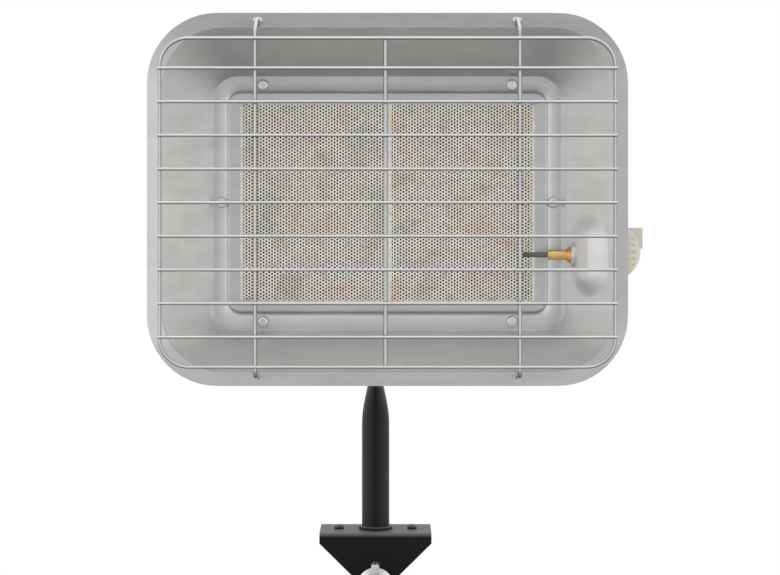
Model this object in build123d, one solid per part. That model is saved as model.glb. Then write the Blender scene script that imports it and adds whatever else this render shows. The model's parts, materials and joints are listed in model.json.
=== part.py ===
from build123d import *
import math
import os

# Gas radiant heater head on a clamp stand for a gas bottle's collar.
# Millimetres. X to the right, Y to the back, Z up. The origin is on the tube's axis,
# in the underside of the foot flange, where the bottle's collar ends up.

# Where the head sits, seen from the foot
head_x = 8.1
head_z = 227.0
tile_face_y = -95.0

# Ceramic tiles
tile_width = 93.0
tile_height = 131.0
tile_thickness = 13.0
tile_joint_width = 1.0
gasket_under = 1.0
gasket_overlap = 4.5
gasket_side_x = 2.0
gasket_side_z = 1.5
tiles_half_x = tile_width + tile_joint_width / 2

# Burner box's outside, round the tiles and their seal
box_sheet = 1.0
box_half_x = tiles_half_x + gasket_side_x + box_sheet
box_half_z = tile_height / 2 + gasket_side_z + box_sheet

# Reflector dish, pressed from one sheet; half sizes are of the inside of the dish
sheet = 0.8
band_y = -96.5
band_radius = 15.0
band_side_x = 13.3
band_side_z = 12.5
band_half_x = box_half_x + band_side_x
band_half_z = box_half_z + band_side_z
band_overlap = 0.5
ridge_y = -103.0
ridge_out = 2.5
ridge_half_x = band_half_x + ridge_out
ridge_half_z = band_half_z + ridge_out
ridge_radius = band_radius + ridge_out
ridge_rise = -0.8
crest_y = -147.0
wall_reach_x = 24.2
wall_reach_z = 21.3
crest_half_x = ridge_half_x + wall_reach_x
crest_half_z = ridge_half_z + wall_reach_z
crest_radius = 36.0
crest_rise = 1.9
crest_width = 0.7
rim_y = -134.0
rim_reach_x = 11.0
rim_reach_z = 10.1
rim_half_x = crest_half_x + rim_reach_x
rim_half_z = crest_half_z + rim_reach_z
rim_radius = 43.0
rim_hem = 2.6
rim_wall = 1.05
wall_gap_x = 0.9

# Raised boss on the right wall, in the wall's own plane
boss_foot_length = 42.0
boss_foot_height = 51.0
boss_top_length = 9.0
boss_top_height = 30.0
boss_foot_up_wall = 25.0
boss_top_up_wall = 25.5
boss_raise = 4.8
boss_z = -32.6

# Thermocouple
thermo_y = -113.0
seat_out = 1.9
seat_x = ridge_half_x + seat_out
seat_diameter = 15.4
holder_diameter = 6.4
holder_flare_diameter = 11.6
holder_flare_length = 3.2
holder_tube_length = 11.3
holder_thread_diameter = 8.0
holder_thread_length = 9.5
thermo_nut_flats = 11.0
thermo_nut_height = 4.0
probe_diameter = 3.2
probe_reach = 15.6
probe_tail = 3.0
lead_diameter = 2.0
lead_step = 1.0

# Burner box
box_radius = 4.0
box_back_y = -55.0
box_flange_in_x = 1.8
box_flange_in_z = 2.0
box_flange_half_x = band_half_x - box_flange_in_x
box_flange_half_z = band_half_z - box_flange_in_z
box_flange_radius = 13.0
stud_stands_out = 1.3
support_ledge = 6.5
baffle_y = -71.2
baffle_sheet = 0.8
baffle_tab = 10.0
baffle_hole = 6.0
baffle_pitch = 17.0
baffle_gap = 0.3
baffle_corner = 2.0
baffle_tab_inset = 5.0

# Tile frame
frame_over_x = 0.4
frame_over_z = 2.4
frame_width_x = 7.6
frame_width_z = 6.2
frame_inner_half_x = tiles_half_x - frame_over_x
frame_inner_half_z = tile_height / 2 - frame_over_z
frame_outer_half_x = frame_inner_half_x + frame_width_x
frame_outer_half_z = frame_inner_half_z + frame_width_z
frame_height = 1.7
frame_lip = 1.0
frame_radius = 8.0
frame_window_radius = 2.0

# Screws, nuts and studs
burner_screw = 4.0
burner_screw_head = 7.3
burner_screw_head_height = 2.6
burner_screw_length = 9.0
burner_screw_out = 8.1
burner_screw_up = 6.8
burner_screw_in = 17.8
burner_screw_x = box_half_x - burner_screw_in
burner_screw_z = box_half_z + burner_screw_up
burner_screw_side_x = box_half_x + burner_screw_out
foot_screw = 4.0
foot_screw_head = 6.6
foot_screw_head_height = 2.4
foot_screw_x = 24.8
foot_screw_short = 0.4
nut_m4_flats = 7.0
nut_m4_height = 3.2
nut_m5_flats = 8.0
nut_m5_height = 4.0
nut_m6_flats = 10.0
nut_m6_height = 5.0
stud_m4 = 4.0
stud_m5 = 5.0
hole_gap = 0.2
thread_gap = 0.05
turn_gap = 0.05
seat_gap = 0.1
join_step = 0.06

# Wire guard
guard_y = -169.0
guard_in_x = 0.8
guard_in_z = 6.3
guard_half_x = crest_half_x - guard_in_x
guard_half_z = crest_half_z - guard_in_z
guard_radius = 17.0
guard_wire = 2.0
guard_bars_count = 9
guard_bar_pitch = 20.0
upright_wire = 2.4
upright_x = 79.0
upright_middle_x = -1.2
leg_top_up = 6.2
leg_bottom_down = 2.3
leg_top_z = crest_half_z + leg_top_up
leg_bottom_z = -crest_half_z - leg_bottom_down
leg_bend = 4.0
leg_turn_y = 15.4
leg_turn_z = 5.5
leg_end_y = -136.0
eyelet_diameter = 5.9
eyelet_height = 1.5

# Stand tube
tube_diameter = 18.6
tube_wall = 1.5
tube_round_top = 78.0
tube_flat_bottom = 121.0
tube_top = 149.0
tube_flat = 3.6
tube_flat_width = 27.1
tube_flat_corner = 4.0
pivot_z = 136.0

# Clamp bracket and foot
plate_width = 75.2
plate_depth = 42.0
plate_sheet = 2.0
plate_bend = 2.5
cheek_side = 6.7
cheek_screw_z = -27.4
cheek_end_radius = 8.1
flange_thickness = 3.0
flange_length = 66.0
flange_width = 30.0
flange_radius = 6.0
collar_diameter = 22.8
collar_height = 2.2
collar_round = 0.5

# Clamp screw
clamp_thread = 6.0
clamp_travel = 12.0
clamp_wing_gap = 1.0
clamp_stud_end = 1.5
pad_diameter = 14.0
pad_height = 4.0
pad_face_y = 4.0
pad_socket = 2.0

# Pressed wing nuts
wing_base_diameter = 24.0
wing_base_height = 3.2
wing_hub_diameter = 10.5
wing_hub_height = 7.5
wing_reach = 17.0
wing_height = 15.0
wing_thickness = 5.3
wing_seam = 0.9

# Tilt bracket
ear_sheet = 2.0
ear_radius = 12.0
ear_top_z = 218.0
ear_bottom_z = 163.0
ear_base_width = 28.0
tilt_thread = 6.0
tilt_head_height = 4.0
tilt_washer_diameter = 12.5
tilt_washer_height = 1.5
tilt_bolt_end = 2.0
tilt_stud_inset = 12.0

# Gas valve, on an axis that runs to the right behind the box
valve_y = -40.0
valve_z = -32.5
valve_left_out = 8.5
valve_left_x = box_half_x + valve_left_out
valve_diameter = 24.0
valve_neck_diameter = 14.0
valve_neck_length = 8.0
valve_neck_bore = 8.2
valve_bore_depth = 12.0
panel_out = 30.5
panel_x = box_half_x + panel_out
panel_sheet = 1.5
panel_left_in = 28.5
panel_left_x = box_half_x - panel_left_in
panel_height = 27.0
panel_back_y = -24.0
panel_stud_in = 20.5
panel_stud_x = box_half_x - panel_stud_in
panel_stud_spread = 9.0
panel_nut_flats = 19.0
panel_nut_height = 3.5
magnet_diameter = 16.0
magnet_left_in = 11.5
magnet_left_x = box_half_x - magnet_left_in
union_flats = 10.0
union_length = 8.0
inlet_out = 17.5
inlet_x = box_half_x + inlet_out
inlet_boss_diameter = 14.0
inlet_boss_height = 5.0
inlet_hex_flats = 19.0
inlet_hex_height = 7.0
inlet_thread = 16.66
inlet_thread_length = 14.0
inlet_bore = 6.0

# Injector and mixing tube
mixer_z = -8.0
elbow_width = 14.0
elbow_top = 7.0
elbow_boss = 12.0
elbow_boss_height = 2.0
elbow_chamfer = 1.2
injector_flats = 8.0
injector_hex = 4.0
injector_nose = 6.0
injector_nose_diameter = 5.0
injector_hole = 1.2
mixer_mouth_out = 4.5
mixer_mouth_x = box_half_x + mixer_mouth_out
mixer_mouth_diameter = 24.0
mixer_neck_in = 8.5
mixer_neck_x = box_half_x - mixer_neck_in
mixer_diameter = 18.0
mixer_wall = 1.0
mixer_end_x = 36.0
mixer_bend = 14.0
mixer_flange_x = 24.0
mixer_flange_z = 46.0
mixer_flange_sheet = 2.0
mixer_flange_corner = 4.0
mixer_gasket_sheet = 1.0
mixer_stud_spread = 17.0

# Knob and stem
knob_out = 48.5
knob_x = box_half_x + knob_out
knob_diameter = 33.6
knob_end_diameter = 31.0
knob_length = 14.0
knob_dome = 8.0
knob_wall = 2.4
knob_hub = 12.0
knob_flutes = 18
knob_flute = 1.6
knob_flute_out = 0.35
knob_foot = 2.5
knob_edge = 1.5
pointer_width = 8.0
pointer_reach = 1.2
pointer_inset = 3.0
pointer_corner = 1.0
stem_diameter = 8.0
stem_push = 3.0
stem_start_out = 34.5
stem_start_x = box_half_x + stem_start_out
stem_end_out = 61.5
stem_end_x = box_half_x + stem_end_out
cup_out = 46.0
cup_x = box_half_x + cup_out
cup_diameter = 13.0
cup_sheet = 1.0
spring_diameter = 10.6
spring_wire = 1.0
spring_turns = 2.0


def front_plane(y, x=head_x, z=head_z):
    """Plane that faces the viewer: local x runs right and local y runs up."""
    return Plane(origin=(x, y, z), x_dir=(1, 0, 0), z_dir=(0, -1, 0))


def side_plane(x, y, z):
    """Plane that faces right: local x runs back and local y runs up."""
    return Plane(origin=(x, y, z), x_dir=(0, 1, 0), z_dir=(1, 0, 0))


def at_head(x, y, z):
    """Point given from the head's centre, in the part's frame."""
    return Vector(head_x + x, y, head_z + z)


def rounded(y, half_x, half_z, radius, rise=0.0):
    """Rounded rectangle that faces the viewer, centred on the head."""
    return front_plane(y, z=head_z + rise) * RectangleRounded(2 * half_x, 2 * half_z, radius)


def rod(start, end, radius):
    """Round bar between two points."""
    start, end = Vector(start), Vector(end)
    run = end - start
    return extrude(Plane(start, z_dir=run) * Circle(radius), amount=run.length)


def taper(start, end, start_radius, end_radius):
    """Round tapered bar between two points."""
    start, end = Vector(start), Vector(end)
    run = end - start
    cone = Cone(start_radius, end_radius, run.length, align=(Align.CENTER, Align.CENTER, Align.MIN))
    return Plane(start, z_dir=run) * cone


def hexagon(start, end, flats, turn=0.0):
    """Hexagonal bar between two points."""
    start, end = Vector(start), Vector(end)
    run = end - start
    outline = Rot(0, 0, turn) * RegularPolygon(flats / 2, 6, major_radius=False)
    return extrude(Plane(start, z_dir=run) * outline, amount=run.length)


def box_between(low, high):
    """Box between two corners."""
    size = [high[i] - low[i] for i in range(3)]
    middle = [(high[i] + low[i]) / 2 for i in range(3)]
    return Pos(*middle) * Box(*size)


def nut(start, end, flats, bore, turn=0.0):
    """Hexagonal nut between two points, chamfered at its outer end."""
    start, end = Vector(start), Vector(end)
    reach = (end - start).length
    corner = flats / math.sqrt(3)
    body = hexagon(start, end, flats, turn)
    crown = taper(start, end, corner + reach, corner - 0.06 * flats)
    return (body & crown) - rod(start, end, bore / 2 + thread_gap)


def screw(seat, outward, head, head_height, shank, length):
    """Pan head screw with a cross recess; seat is the point under its head."""
    flat = (Align.CENTER, Align.CENTER, Align.MIN)
    top = Cylinder(head / 2, head_height, align=flat)
    top = fillet(top.edges().sort_by(Axis.Z)[-1], 0.7 * head_height)
    arm = head * 0.14
    depth = head_height * 0.55
    slot = Pos(0, 0, head_height - depth) * Box(head * 0.55, arm, 2 * depth, align=flat)
    top -= slot
    top -= Rot(0, 0, 90) * slot
    body = top + Pos(0, 0, -length) * Cylinder(shank / 2, length, align=flat)
    return Plane(Vector(seat), z_dir=Vector(outward)) * body


def wing_nut(seat, outward, bore, bore_depth, tall):
    """Pressed wing nut; seat is the centre of its base, and tall is where its wings point."""
    flat = (Align.CENTER, Align.CENTER, Align.MIN)
    base = Cone(wing_base_diameter / 2, wing_hub_diameter / 2 + 1, wing_base_height, align=flat)
    hub = Cylinder(wing_hub_diameter / 2, wing_hub_height, align=flat)
    body = base + fillet(hub.edges().sort_by(Axis.Z)[-1], 1.2)
    inner = wing_hub_diameter / 2 - 1.5
    outline = Polygon(
        (inner, wing_base_height * 0.4),
        (wing_reach * 0.8, wing_base_height * 0.5),
        (wing_reach, wing_base_height * 1.6),
        (wing_reach, wing_height),
        (wing_reach * 0.62, wing_height),
        (inner, wing_hub_height),
        align=None,
    )
    outline = fillet(outline.vertices().sort_by(Axis.Y)[-2:], 1.6)
    wing = extrude(Plane.XZ * outline, amount=wing_thickness / 2, both=True)
    outer = wing.edges().filter_by(Axis.Z).sort_by(Axis.X)[-2:]
    wing = chamfer(outer, wing_thickness * 0.25)
    groove = Pos(wing_reach, 0, wing_height / 2) * Box(1.2, wing_seam, 2 * wing_height)
    wing -= groove
    body += wing + Rot(0, 0, 180) * wing
    body -= Pos(0, 0, -1) * Cylinder(bore / 2 + thread_gap, bore_depth + 1, align=flat)
    return Plane(Vector(seat), x_dir=Vector(tall), z_dir=Vector(outward)) * body


def clamp_bracket():
    """Saddle folded from one sheet: a top plate and two pointed cheeks."""
    half = plate_width / 2
    top = flange_thickness + plate_sheet
    low = cheek_screw_z - cheek_end_radius
    saddle = box_between((-half, -plate_depth / 2, low), (half, plate_depth / 2, top))
    bends = saddle.edges().filter_by(Axis.X).group_by(Axis.Z)[-1]
    saddle = fillet(bends, plate_bend)
    inner = box_between(
        (-half - 1, plate_sheet - plate_depth / 2, low - 1),
        (half + 1, plate_depth / 2 - plate_sheet, flange_thickness),
    )
    saddle -= inner
    side_low = top - cheek_side
    slant = cheek_end_radius * math.sqrt(0.5)
    outline = Polygon(
        (-half, top),
        (-half, side_low),
        (-slant, cheek_screw_z - slant),
        (slant, cheek_screw_z - slant),
        (half, side_low),
        (half, top),
        align=None,
    )
    outline += Pos(0, cheek_screw_z) * Circle(cheek_end_radius)
    face = Plane(origin=(0, plate_depth / 2 + 1, 0), x_dir=(1, 0, 0), z_dir=(0, -1, 0))
    saddle &= extrude(face * outline, amount=plate_depth + 2)
    saddle -= rod((0, 0, 0), (0, 0, top + 1), tube_diameter / 2 + hole_gap)
    for side in (-1, 1):
        x = side * foot_screw_x
        saddle -= rod((x, 0, 0), (x, 0, top + 1), foot_screw / 2 + hole_gap)
    front = -plate_depth / 2
    hole = clamp_thread / 2 + turn_gap + hole_gap
    saddle -= rod((0, front - 1, cheek_screw_z), (0, front + plate_sheet + 1, cheek_screw_z), hole)
    return saddle


def foot_flange():
    """Tapped plate under the saddle's top, with the tube standing in it."""
    plate = extrude(RectangleRounded(flange_length, flange_width, flange_radius), amount=flange_thickness)
    plate -= rod((0, 0, -1), (0, 0, flange_thickness + 1), tube_diameter / 2 + thread_gap)
    for side in (-1, 1):
        x = side * foot_screw_x
        plate -= rod((x, 0, -1), (x, 0, flange_thickness + 1), foot_screw / 2 + thread_gap)
    return plate


def foot_screws():
    """Two screws that hold the saddle to the foot flange."""
    top = flange_thickness + plate_sheet
    length = top - foot_screw_short
    head = foot_screw_head
    tall = foot_screw_head_height
    places = [(side * foot_screw_x, 0, top) for side in (-1, 1)]
    return [screw(place, (0, 0, 1), head, tall, foot_screw, length) for place in places]


def tube_collar():
    """Collar round the tube's foot, resting on the saddle."""
    top = flange_thickness + plate_sheet
    ring = rod((0, 0, top), (0, 0, top + collar_height), collar_diameter / 2)
    ring = fillet(ring.edges().sort_by(Axis.Z)[-1], collar_round)
    return ring - rod((0, 0, 0), (0, 0, top + collar_height + 1), tube_diameter / 2 + thread_gap)


def tube_section(height, thin, wide, inset=0.0):
    """Oval section of the tube where it is pressed flat."""
    return Plane.XY.offset(height) * Ellipse(thin - inset, wide - inset)


def stand_tube():
    """Round tube whose upper end is pressed flat and drilled for the tilt bolt."""
    radius = tube_diameter / 2
    thin_end = tube_flat / 2
    wide_end = tube_flat_width / 2
    steps = 7
    levels = []
    for step in range(steps):
        share = step / (steps - 1)
        height = tube_round_top + share * (tube_flat_bottom - tube_round_top)
        squeeze = share**1.75 * (1.9 - 0.9 * share)
        thin = radius - (radius - thin_end) * squeeze
        wide = radius + (wide_end - radius) * squeeze
        levels.append((height, thin, wide))
    levels[0] = (tube_round_top - 0.5, radius - join_step, radius - join_step / 2)
    levels[-1] = (tube_flat_bottom + 0.5, thin_end - join_step, wide_end - join_step)
    outside = rod((0, 0, 0), (0, 0, tube_round_top), radius)
    outside += loft([tube_section(*level) for level in levels])
    flat = side_plane(-thin_end, 0, (tube_flat_bottom + tube_top) / 2)
    blade_outline = RectangleRounded(tube_flat_width, tube_top - tube_flat_bottom + 0.1, tube_flat_corner)
    blade = extrude(flat * blade_outline, amount=tube_flat)
    root = box_between((-thin_end, -wide_end, tube_flat_bottom), (thin_end, wide_end, pivot_z - tilt_thread))
    outside += blade + root
    inside = rod((0, 0, -1), (0, 0, tube_round_top), radius - tube_wall)
    inside += loft([tube_section(*level, inset=tube_wall) for level in levels[:4]])
    bolt = tilt_thread / 2 + thread_gap
    return outside - inside - rod((-radius, 0, pivot_z), (radius, 0, pivot_z), bolt)


def clamp_weld_nut():
    """Nut welded inside the front cheek."""
    y = plate_sheet - plate_depth / 2
    running = clamp_thread + 2 * (turn_gap - thread_gap)
    return nut((0, y, cheek_screw_z), (0, y + nut_m6_height, cheek_screw_z), nut_m6_flats, running)


def clamp_wing_seat_y():
    """Where the wing's base stands when the clamp is open."""
    return -plate_depth / 2 - clamp_wing_gap - clamp_travel


def clamp_stud():
    """Threaded stud from the wing to the pad's socket."""
    start = clamp_wing_seat_y() - wing_hub_height - clamp_stud_end
    end = pad_face_y - pad_height + pad_socket - seat_gap
    return rod((0, start, cheek_screw_z), (0, end, cheek_screw_z), clamp_thread / 2)


def clamp_wing():
    """Pressed wing locked on the stud's outer end."""
    seat = (0, clamp_wing_seat_y(), cheek_screw_z)
    return wing_nut(seat, (0, -1, 0), clamp_thread, wing_height + 2, (0, 0, 1))


def clamp_pad():
    """Pad that presses on the bottle's collar and doesn't turn with the stud."""
    start = (0, pad_face_y - pad_height, cheek_screw_z)
    pad = rod(start, (0, pad_face_y, cheek_screw_z), pad_diameter / 2)
    pad = fillet(pad.edges().sort_by(Axis.Y)[-1], 1.0)
    socket_end = (0, pad_face_y - pad_height + pad_socket, cheek_screw_z)
    socket_start = (0, pad_face_y - pad_height - 1, cheek_screw_z)
    return pad - rod(socket_start, socket_end, clamp_thread / 2 + turn_gap)


def ear_x():
    """Left face of the ear, beside the flattened tube."""
    return tube_flat / 2 + seat_gap


def tilt_bolt():
    """Bolt through the flattened tube and the ear."""
    head_seat = ear_x() + ear_sheet + seat_gap
    nut_seat = -tube_flat / 2 - tilt_washer_height
    end = nut_seat - wing_hub_height - tilt_bolt_end
    shank = rod((end, 0, pivot_z), (head_seat, 0, pivot_z), tilt_thread / 2)
    head = hexagon((head_seat, 0, pivot_z), (head_seat + tilt_head_height, 0, pivot_z), nut_m6_flats)
    return shank + head


def tilt_washer():
    """Washer between the wing nut and the tube."""
    x = -tube_flat / 2
    disc = rod((x - tilt_washer_height, 0, pivot_z), (x, 0, pivot_z), tilt_washer_diameter / 2)
    return disc - rod((x - 5, 0, pivot_z), (x + 1, 0, pivot_z), tilt_thread / 2 + hole_gap)


def tilt_wing_nut():
    """Wing nut that locks the head's tilt."""
    x = -tube_flat / 2 - tilt_washer_height
    running = tilt_thread + 2 * (turn_gap - thread_gap)
    return wing_nut((x, 0, pivot_z), (-1, 0, 0), running, wing_height + 2, (0, 0, 1))


def tilt_stud_points():
    """Feet of the two studs on the box's back that hold the tilt bracket."""
    x = ear_x() + ear_sheet / 2 - ear_base_width / 2
    return [
        Vector(x, box_back_y, ear_bottom_z + tilt_stud_inset),
        Vector(x, box_back_y, ear_top_z - tilt_stud_inset),
    ]


def tilt_bracket():
    """Base on the box's back, and an ear that turns on the tilt bolt."""
    left = ear_x()
    right = left + ear_sheet
    near = (right - ear_base_width, box_back_y, ear_bottom_z)
    base = box_between(near, (right, box_back_y + ear_sheet, ear_top_z))
    reach = math.hypot(box_back_y, ear_bottom_z - pivot_z)
    lead = math.atan2(ear_bottom_z - pivot_z, box_back_y)
    swing = lead + math.acos(ear_radius / reach)
    low_tangent = (ear_radius * math.cos(swing), ear_radius * math.sin(swing))
    reach = math.hypot(box_back_y, ear_top_z - pivot_z)
    lead = math.atan2(ear_top_z - pivot_z, box_back_y)
    swing = lead - math.acos(ear_radius / reach)
    high_tangent = (ear_radius * math.cos(swing), ear_radius * math.sin(swing))
    outline = Polygon(
        (box_back_y, ear_top_z - pivot_z),
        (box_back_y, ear_bottom_z - pivot_z),
        low_tangent,
        (0, 0),
        high_tangent,
        align=None,
    )
    outline += Circle(ear_radius)
    ear = extrude(side_plane(left, 0, pivot_z) * outline, amount=ear_sheet)
    bracket = base + ear
    bracket -= rod((left - 1, 0, pivot_z), (right + 1, 0, pivot_z), tilt_thread / 2 + turn_gap)
    for foot in tilt_stud_points():
        bracket -= rod(foot, foot + Vector(0, 5, 0), stud_m5 / 2 + hole_gap)
    return bracket


def tilt_bracket_nuts():
    """Two nuts on the tilt bracket's studs."""
    lift = Vector(0, ear_sheet, 0)
    rise = Vector(0, ear_sheet + nut_m5_height, 0)
    return [nut(foot + lift, foot + rise, nut_m5_flats, stud_m5) for foot in tilt_stud_points()]


def dish(wall_x, wall_y):
    """Inside of the dish from its band to its crest, grown by a wall's thickness."""
    grow = wall_x
    band = rounded(band_y + wall_y, band_half_x + grow, band_half_z + grow, band_radius + grow, ridge_rise)
    ridge = rounded(ridge_y, ridge_half_x + grow, ridge_half_z + grow, ridge_radius + grow, ridge_rise)
    crest = rounded(crest_y, crest_half_x + grow, crest_half_z + grow, crest_radius + grow, crest_rise)
    return loft([band, ridge], ruled=True) + loft([ridge, crest], ruled=True)


def rim_cone(inset):
    """Solid under the slanted rim, from the crest to the rim's edge."""
    inner = crest_width - inset
    top = rounded(crest_y, crest_half_x + inner, crest_half_z + inner, crest_radius + inner, crest_rise)
    edge = rounded(rim_y, rim_half_x - inset, rim_half_z - inset, rim_radius - inset, crest_rise)
    return loft([top, edge], ruled=True)


def wall_plane():
    """Plane on the right wall: local x runs up the wall from the ridge, local z points into the dish."""
    along = Vector(crest_half_x - ridge_half_x, crest_y - ridge_y, 0).normalized()
    into = Vector(along.Y, -along.X, 0)
    return Plane(origin=at_head(ridge_half_x, ridge_y, boss_z), x_dir=along, z_dir=into)


def wall_boss(inset):
    """Solid of the raised boss on the right wall, less a wall's thickness."""
    plane = wall_plane()
    foot = SlotOverall(boss_foot_height - 2 * inset, boss_foot_length - 2 * inset, rotation=90)
    top = SlotOverall(boss_top_height - 2 * inset, boss_top_length - 2 * inset, rotation=90)
    low = plane.offset(-2 * sheet) * Pos(boss_foot_up_wall, 0) * foot
    high = plane.offset(boss_raise - inset) * Pos(boss_top_up_wall, 0) * top
    return loft([low, high], ruled=True)


def along_thermo(x, radius, end_x):
    """Round bar on the thermocouple's axis between two places from the head's centre."""
    return rod(at_head(x, thermo_y, boss_z), at_head(end_x, thermo_y, boss_z), radius)


def burner_screw_points():
    """Places of the six burner screws, from the head's centre."""
    points = [(x * burner_screw_x, z * burner_screw_z - 0.5) for x in (-1, 1) for z in (-1, 1)]
    return points + [(-burner_screw_side_x, 0.0), (burner_screw_side_x, 0.0)]


def rim_point(z):
    """Point on the rim's front face at a height from the head's centre, and the face's normal."""
    side = 1 if z > 0 else -1
    start = crest_half_z + crest_width
    slope = (rim_y - crest_y) / (rim_half_z - start)
    y = crest_y + (abs(z) - side * crest_rise - start) * slope
    normal = Vector(0, -1, side * slope).normalized()
    return y, normal


def guard_feet():
    """Places where the guard's four legs meet the rim, from the head's centre."""
    return [(x * upright_x, z) for x in (-1, 1) for z in (leg_top_z, leg_bottom_z)]


def reflector():
    """Dish pressed from one sheet, with its slanted rim, boss, seat and holes."""
    cavity = dish(0, 0)
    outside = dish(wall_gap_x, sheet)
    over = rounded(crest_y - 3, crest_half_x, crest_half_z, crest_radius, crest_rise)
    spacer = extrude(over, amount=-3)
    seat_back = seat_x + sheet
    cavity -= wall_boss(0)
    cavity -= along_thermo(seat_x, seat_diameter / 2, seat_x + 12)
    cavity += along_thermo(seat_x - 5, seat_diameter / 2, seat_x)
    outside -= wall_boss(sheet)
    outside += along_thermo(seat_x - 3, seat_diameter / 2 + sheet, seat_back)
    outside -= along_thermo(seat_back, seat_diameter / 2 - sheet, seat_x + 20)
    rim = rim_cone(0) - rim_cone(rim_wall)
    hem_outer = rounded(rim_y, rim_half_x, rim_half_z, rim_radius, crest_rise)
    hem_inner = rounded(rim_y, rim_half_x - sheet, rim_half_z - sheet, rim_radius - sheet, crest_rise)
    rim += extrude(hem_outer, amount=-rim_hem) - extrude(hem_inner, amount=-rim_hem)
    bowl = (outside + rim) - cavity - spacer
    opening = rounded(band_y - 5, box_half_x - band_overlap, box_half_z - band_overlap, box_radius)
    bowl -= extrude(opening, amount=-10)
    for x, z in burner_screw_points():
        hole = burner_screw / 2 + hole_gap
        bowl -= rod(at_head(x, band_y - 2, z), at_head(x, band_y + 5, z), hole)
    bowl -= along_thermo(seat_x - 3, holder_thread_diameter / 2 + hole_gap, seat_x + 10)
    for x, z in guard_feet():
        hole = upright_wire / 2 + hole_gap
        bowl -= rod(at_head(x, crest_y - 5, z), at_head(x, rim_y + 5, z), hole)
    return bowl


def box_floor_y():
    """Front face of the burner box's back sheet."""
    return box_back_y - box_sheet


def mixer_stud_points():
    """Feet of the studs that hold the mixing tube's flange."""
    return [at_head(mixer_end_x, box_back_y, mixer_z + side * mixer_stud_spread) for side in (-1, 1)]


def panel_stud_points():
    """Feet of the studs that hold the valve bracket."""
    return [at_head(panel_stud_x, box_back_y, valve_z + side * panel_stud_spread) for side in (-1, 1)]


def burner_box():
    """Tray behind the tiles, with a flange round its mouth and studs on its back."""
    flange_y = band_y + sheet
    body = extrude(rounded(box_back_y, box_half_x, box_half_z, box_radius), amount=box_back_y - flange_y)
    flange = rounded(flange_y + box_sheet, box_flange_half_x, box_flange_half_z, box_flange_radius)
    body += extrude(flange, amount=box_sheet)
    hollow = rounded(box_floor_y(), box_half_x - box_sheet, box_half_z - box_sheet, box_radius - box_sheet)
    body -= extrude(hollow, amount=box_floor_y() - flange_y + 1)
    body -= rod(
        at_head(mixer_end_x, box_back_y + 1, mixer_z),
        at_head(mixer_end_x, box_back_y - 3, mixer_z),
        mixer_diameter / 2 - mixer_wall,
    )
    for x, z in burner_screw_points():
        hole = burner_screw / 2 + hole_gap
        body -= rod(at_head(x, flange_y - 1, z), at_head(x, flange_y + 3, z), hole)
    for foot in tilt_stud_points():
        body += rod(foot, foot + Vector(0, ear_sheet + nut_m5_height + stud_stands_out, 0), stud_m5 / 2)
    stack = mixer_gasket_sheet + mixer_flange_sheet + nut_m4_height + stud_stands_out
    for foot in mixer_stud_points():
        body += rod(foot, foot + Vector(0, stack, 0), stud_m4 / 2)
    for foot in panel_stud_points():
        body += rod(foot, foot + Vector(0, panel_sheet + nut_m4_height + stud_stands_out, 0), stud_m4 / 2)
    return body


def burner_screws():
    """Six screws from the dish's band into the box's flange."""
    return [
        screw(
            at_head(x, band_y, z),
            (0, -1, 0),
            burner_screw_head,
            burner_screw_head_height,
            burner_screw,
            burner_screw_length,
        )
        for x, z in burner_screw_points()
    ]


def burner_nuts():
    """Six nuts behind the box's flange."""
    seat_y = band_y + sheet + box_sheet
    return [
        nut(at_head(x, seat_y, z), at_head(x, seat_y + nut_m4_height, z), nut_m4_flats, burner_screw)
        for x, z in burner_screw_points()
    ]


def tile_frame():
    """Bead round the tiles: it lies on the band, and its lip holds the tiles in."""
    outer = rounded(band_y, frame_outer_half_x, frame_outer_half_z, frame_radius)
    bead = extrude(outer, amount=frame_height)
    bead = fillet(bead.faces().sort_by(Axis.Y)[0].edges(), 0.8 * frame_height)
    window = rounded(band_y + 5, frame_inner_half_x, frame_inner_half_z, frame_window_radius)
    lip_x = frame_inner_half_x + frame_lip
    lip = rounded(tile_face_y, lip_x, frame_inner_half_z + frame_lip, frame_window_radius + frame_lip)
    bead += extrude(lip, amount=tile_face_y - band_y)
    return bead - extrude(window, amount=15)


def tile(side):
    """One ceramic tile, left or right of the joint."""
    x = side * (tile_width + tile_joint_width) / 2
    near = at_head(x - tile_width / 2, tile_face_y, -tile_height / 2)
    far = at_head(x + tile_width / 2, tile_face_y + tile_thickness, tile_height / 2)
    return box_between(tuple(near), tuple(far))


def tile_joint():
    """Cement strip between the two tiles."""
    half = tile_joint_width / 2
    near = at_head(-half, tile_face_y + 0.4, -tile_height / 2)
    far = at_head(half, tile_face_y + tile_thickness, tile_height / 2)
    return box_between(tuple(near), tuple(far))


def tile_gasket():
    """Fibre seal round the tiles' edges and under them."""
    inner_x = box_half_x - box_sheet
    inner_z = box_half_z - box_sheet
    back_y = tile_face_y + tile_thickness + gasket_under
    ring = extrude(rounded(back_y, inner_x, inner_z, box_radius - box_sheet), amount=back_y - tile_face_y)
    pocket = front_plane(tile_face_y + tile_thickness) * Rectangle(2 * tiles_half_x, tile_height)
    ring -= extrude(pocket, amount=tile_thickness + 1)
    window = front_plane(back_y + 1) * Rectangle(
        2 * (tiles_half_x - gasket_overlap), tile_height - 2 * gasket_overlap
    )
    return ring - extrude(window, amount=gasket_under + 2)


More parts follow.
